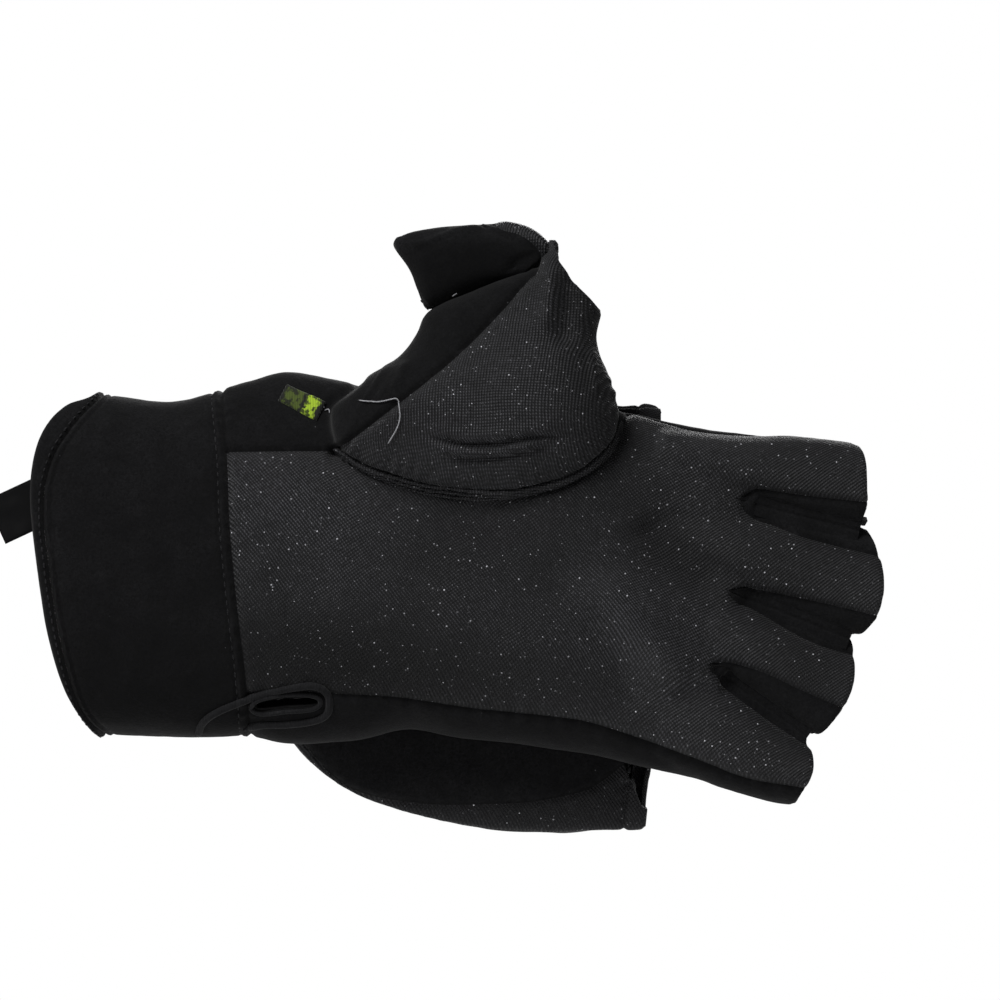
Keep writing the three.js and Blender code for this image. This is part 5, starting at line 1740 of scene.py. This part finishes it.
def makeStitchTree():
    tree = bpy.data.node_groups.new("stitchRow", "GeometryNodeTree")
    for name, kind in (("Row", "NodeSocketGeometry"), ("Length", "NodeSocketFloat"), ("Width", "NodeSocketFloat"),
                       ("Height", "NodeSocketFloat"), ("Seed", "NodeSocketInt"), ("Thread", "NodeSocketMaterial")):
        tree.interface.new_socket(name, in_out="INPUT", socket_type=kind)
    tree.interface.new_socket("Stitches", in_out="OUTPUT", socket_type="NodeSocketGeometry")
    start, end = tree.nodes.new("NodeGroupInput"), tree.nodes.new("NodeGroupOutput")
    ball = add(tree, "GeometryNodeMeshUVSphere", {"Segments": 6, "Rings": 4, "Radius": 0.5})
    sizes = add(tree, "ShaderNodeCombineXYZ", {0: start.outputs["Length"], 1: start.outputs["Width"],
                                               2: start.outputs["Height"]})
    shape = add(tree, "GeometryNodeTransform", {"Geometry": ball.outputs["Mesh"], "Scale": sizes.outputs[0]})
    along = add(tree, "GeometryNodeInputNamedAttribute", {"Name": "along"}, data_type="FLOAT_VECTOR").outputs[0]
    out = add(tree, "GeometryNodeInputNamedAttribute", {"Name": "out"}, data_type="FLOAT_VECTOR").outputs[0]
    first = add(tree, "FunctionNodeAlignRotationToVector", {"Vector": along}, axis="X")
    second = add(tree, "FunctionNodeAlignRotationToVector", {"Rotation": first.outputs[0], "Vector": out},
                 axis="Z", pivot_axis="X")
    uneven = add(tree, "FunctionNodeRandomValue", data_type="FLOAT")
    uneven.inputs[2].default_value, uneven.inputs[3].default_value = 0.82, 1.12
    tree.links.new(start.outputs["Seed"], uneven.inputs["Seed"])
    laid = add(tree, "GeometryNodeInstanceOnPoints", {"Points": start.outputs["Row"], "Instance": shape.outputs[0],
                                                      "Rotation": second.outputs[0], "Scale": uneven.outputs[1]})
    real = add(tree, "GeometryNodeRealizeInstances", {0: laid.outputs[0]})
    done = add(tree, "GeometryNodeSetMaterial", {"Geometry": real.outputs[0], "Material": start.outputs["Thread"]})
    tree.links.new(done.outputs[0], end.inputs[0])
    return tree


stitchTree = makeStitchTree()


def sewn(name, rows, kind):
    # Rows are (points, normals). The stitches become one plain mesh.
    values = stitches[kind]
    places, alongs, outs = [], [], []
    for points, normals in rows:
        points, normals = spaced(points, normals, values["step"])
        along, _, out = pathFrame(points, normals)
        places.append(points + out * values["high"] * 0.25)
        alongs.append(along)
        outs.append(out)
    places, alongs, outs = np.concatenate(places), np.concatenate(alongs), np.concatenate(outs)
    data = bpy.data.meshes.new(name + "_row")
    data.from_pydata((places * 0.001).tolist(), [], [])
    for called, vectors in (("along", alongs), ("out", outs)):
        attribute = data.attributes.new(called, "FLOAT_VECTOR", "POINT")
        attribute.data.foreach_set("vector", vectors.astype(np.float32).ravel())
    row = bpy.data.objects.new(name + "_row", data)
    bpy.context.scene.collection.objects.link(row)
    modifier = row.modifiers.new("stitches", "NODES")
    modifier.node_group = stitchTree
    given = {"Length": values["long"] * 0.001, "Width": values["wide"] * 0.001, "Height": values["high"] * 0.001,
             "Seed": values["seed"], "Thread": threadLook}
    for item in stitchTree.interface.items_tree:
        if item.in_out == "INPUT" and item.name in given:
            modifier[item.identifier] = given[item.name]
    graph = bpy.context.evaluated_depsgraph_get()
    made = bpy.data.objects.new(name, bpy.data.meshes.new_from_object(row.evaluated_get(graph), depsgraph=graph))
    bpy.data.objects.remove(row)
    bpy.context.scene.collection.objects.link(made)
    made.data.shade_smooth()
    return finishPiece(made)


def bothSides(tree, line, shift):
    # Rows on the palm side and on the back, beside a line
    rows = []
    for side in (-1, 1):
        points, normals = castPath(tree, line + np.array([shift, 0]), side)
        rows.append(smoothPath(points, normals, 0.6, 4))
    return rows


sewn("cuff_stitching", bothSides(skinTree, cuffLine, -trim["topstitch"]), "cuffRow")
sewn("hem_stitching", bothSides(skinTree, hemLine, -1.2), "hemRow")
_, across, out = pathFrame(rollPoints, rollNormals)
lifted = rollPoints + out * (bands["cordLift"] + 0.1)
offset = across * (bands["cordGap"] / 2 * widths)[:, None]
sewn("thumb_stitching", [((lifted + offset)[8:-8], out[8:-8]), ((lifted - offset)[8:-8], out[8:-8])], "rollRow")
pouchTree = BVHTree.FromPolygons(pouch["co"].tolist(), pouch["faces"].tolist())
sewn("hood_stitching", bothSides(pouchTree, smoothLine(hood["mouth"][1:-1]), -hood["hem"] - 0.8), "hoodRow")
points, normals = castPath(capTree, smoothLine(cap["hemLine"][1:5], 0.6), -1)
sewn("cap_stitching", [smoothPath(points, normals, 0.5, 3)], "hemRow")
print("stitches sewn")

# Light, floor and surroundings
# energy, place, side of each lamp
lamps = {
    "key": (12.5, (-0.4, -0.66, 0.9), 0.5),
    "fill": (0.6, (0.7, -0.9, 0.3), 1.2),
    "rear": (9.0, (0.15, 1.05, 0.4), 0.6),
}
studio = {"world": 0.1, "aim": (0.12, 0, 0), "floor": -200, "floorAt": 120, "floorWide": 600, "floorSides": 96}


def areaLight(name, energy, at, side):
    data = bpy.data.lights.new(name, "AREA")
    data.energy = energy
    data.size = side
    made = bpy.data.objects.new(name, data)
    made.location = at
    made.rotation_euler = (Vector(studio["aim"]) - Vector(at)).to_track_quat("-Z", "Y").to_euler()
    bpy.context.scene.collection.objects.link(made)


for name, lamp in lamps.items():
    areaLight(name, *lamp)
world = bpy.data.worlds.new("studio")
bpy.context.scene.world = world
world.use_nodes = True
tree = world.node_tree
tree.nodes.clear()
seen = add(tree, "ShaderNodeBackground", {0: (1, 1, 1, 1), 1: 1.0})
lit = add(tree, "ShaderNodeBackground", {0: (1, 1, 1, 1), 1: studio["world"]})
either = add(tree, "ShaderNodeMixShader", {0: add(tree, "ShaderNodeLightPath").outputs["Is Camera Ray"]})
tree.links.new(lit.outputs[0], either.inputs[1])
tree.links.new(seen.outputs[0], either.inputs[2])
tree.links.new(either.outputs[0], add(tree, "ShaderNodeOutputWorld").inputs[0])
bpy.context.scene.view_settings.view_transform = "Standard"

sides, wide, middle = studio["floorSides"], studio["floorWide"], studio["floorAt"]
disc = [(middle, 0, studio["floor"])]
for turn in np.arange(sides) * 2 * math.pi / sides:
    disc.append((middle + wide * math.cos(turn), wide * math.sin(turn), studio["floor"]))
floor = meshFrom("floor", disc, [(0, 1 + k, 1 + (k + 1) % sides) for k in range(sides)])
floorLook, tree, shader, place = newMaterial("floorPaper", 0.8, 0.2)
speckle = add(tree, "ShaderNodeTexNoise", {"Vector": place, "Scale": 30.0, "Detail": 3.0})
paper = mixColour(tree, speckle.outputs["Fac"], (0.80, 0.80, 0.80), (0.84, 0.84, 0.84))
tree.links.new(paper, shader.inputs["Base Color"])
floor.data.materials.append(floorLook)
print("studio set")
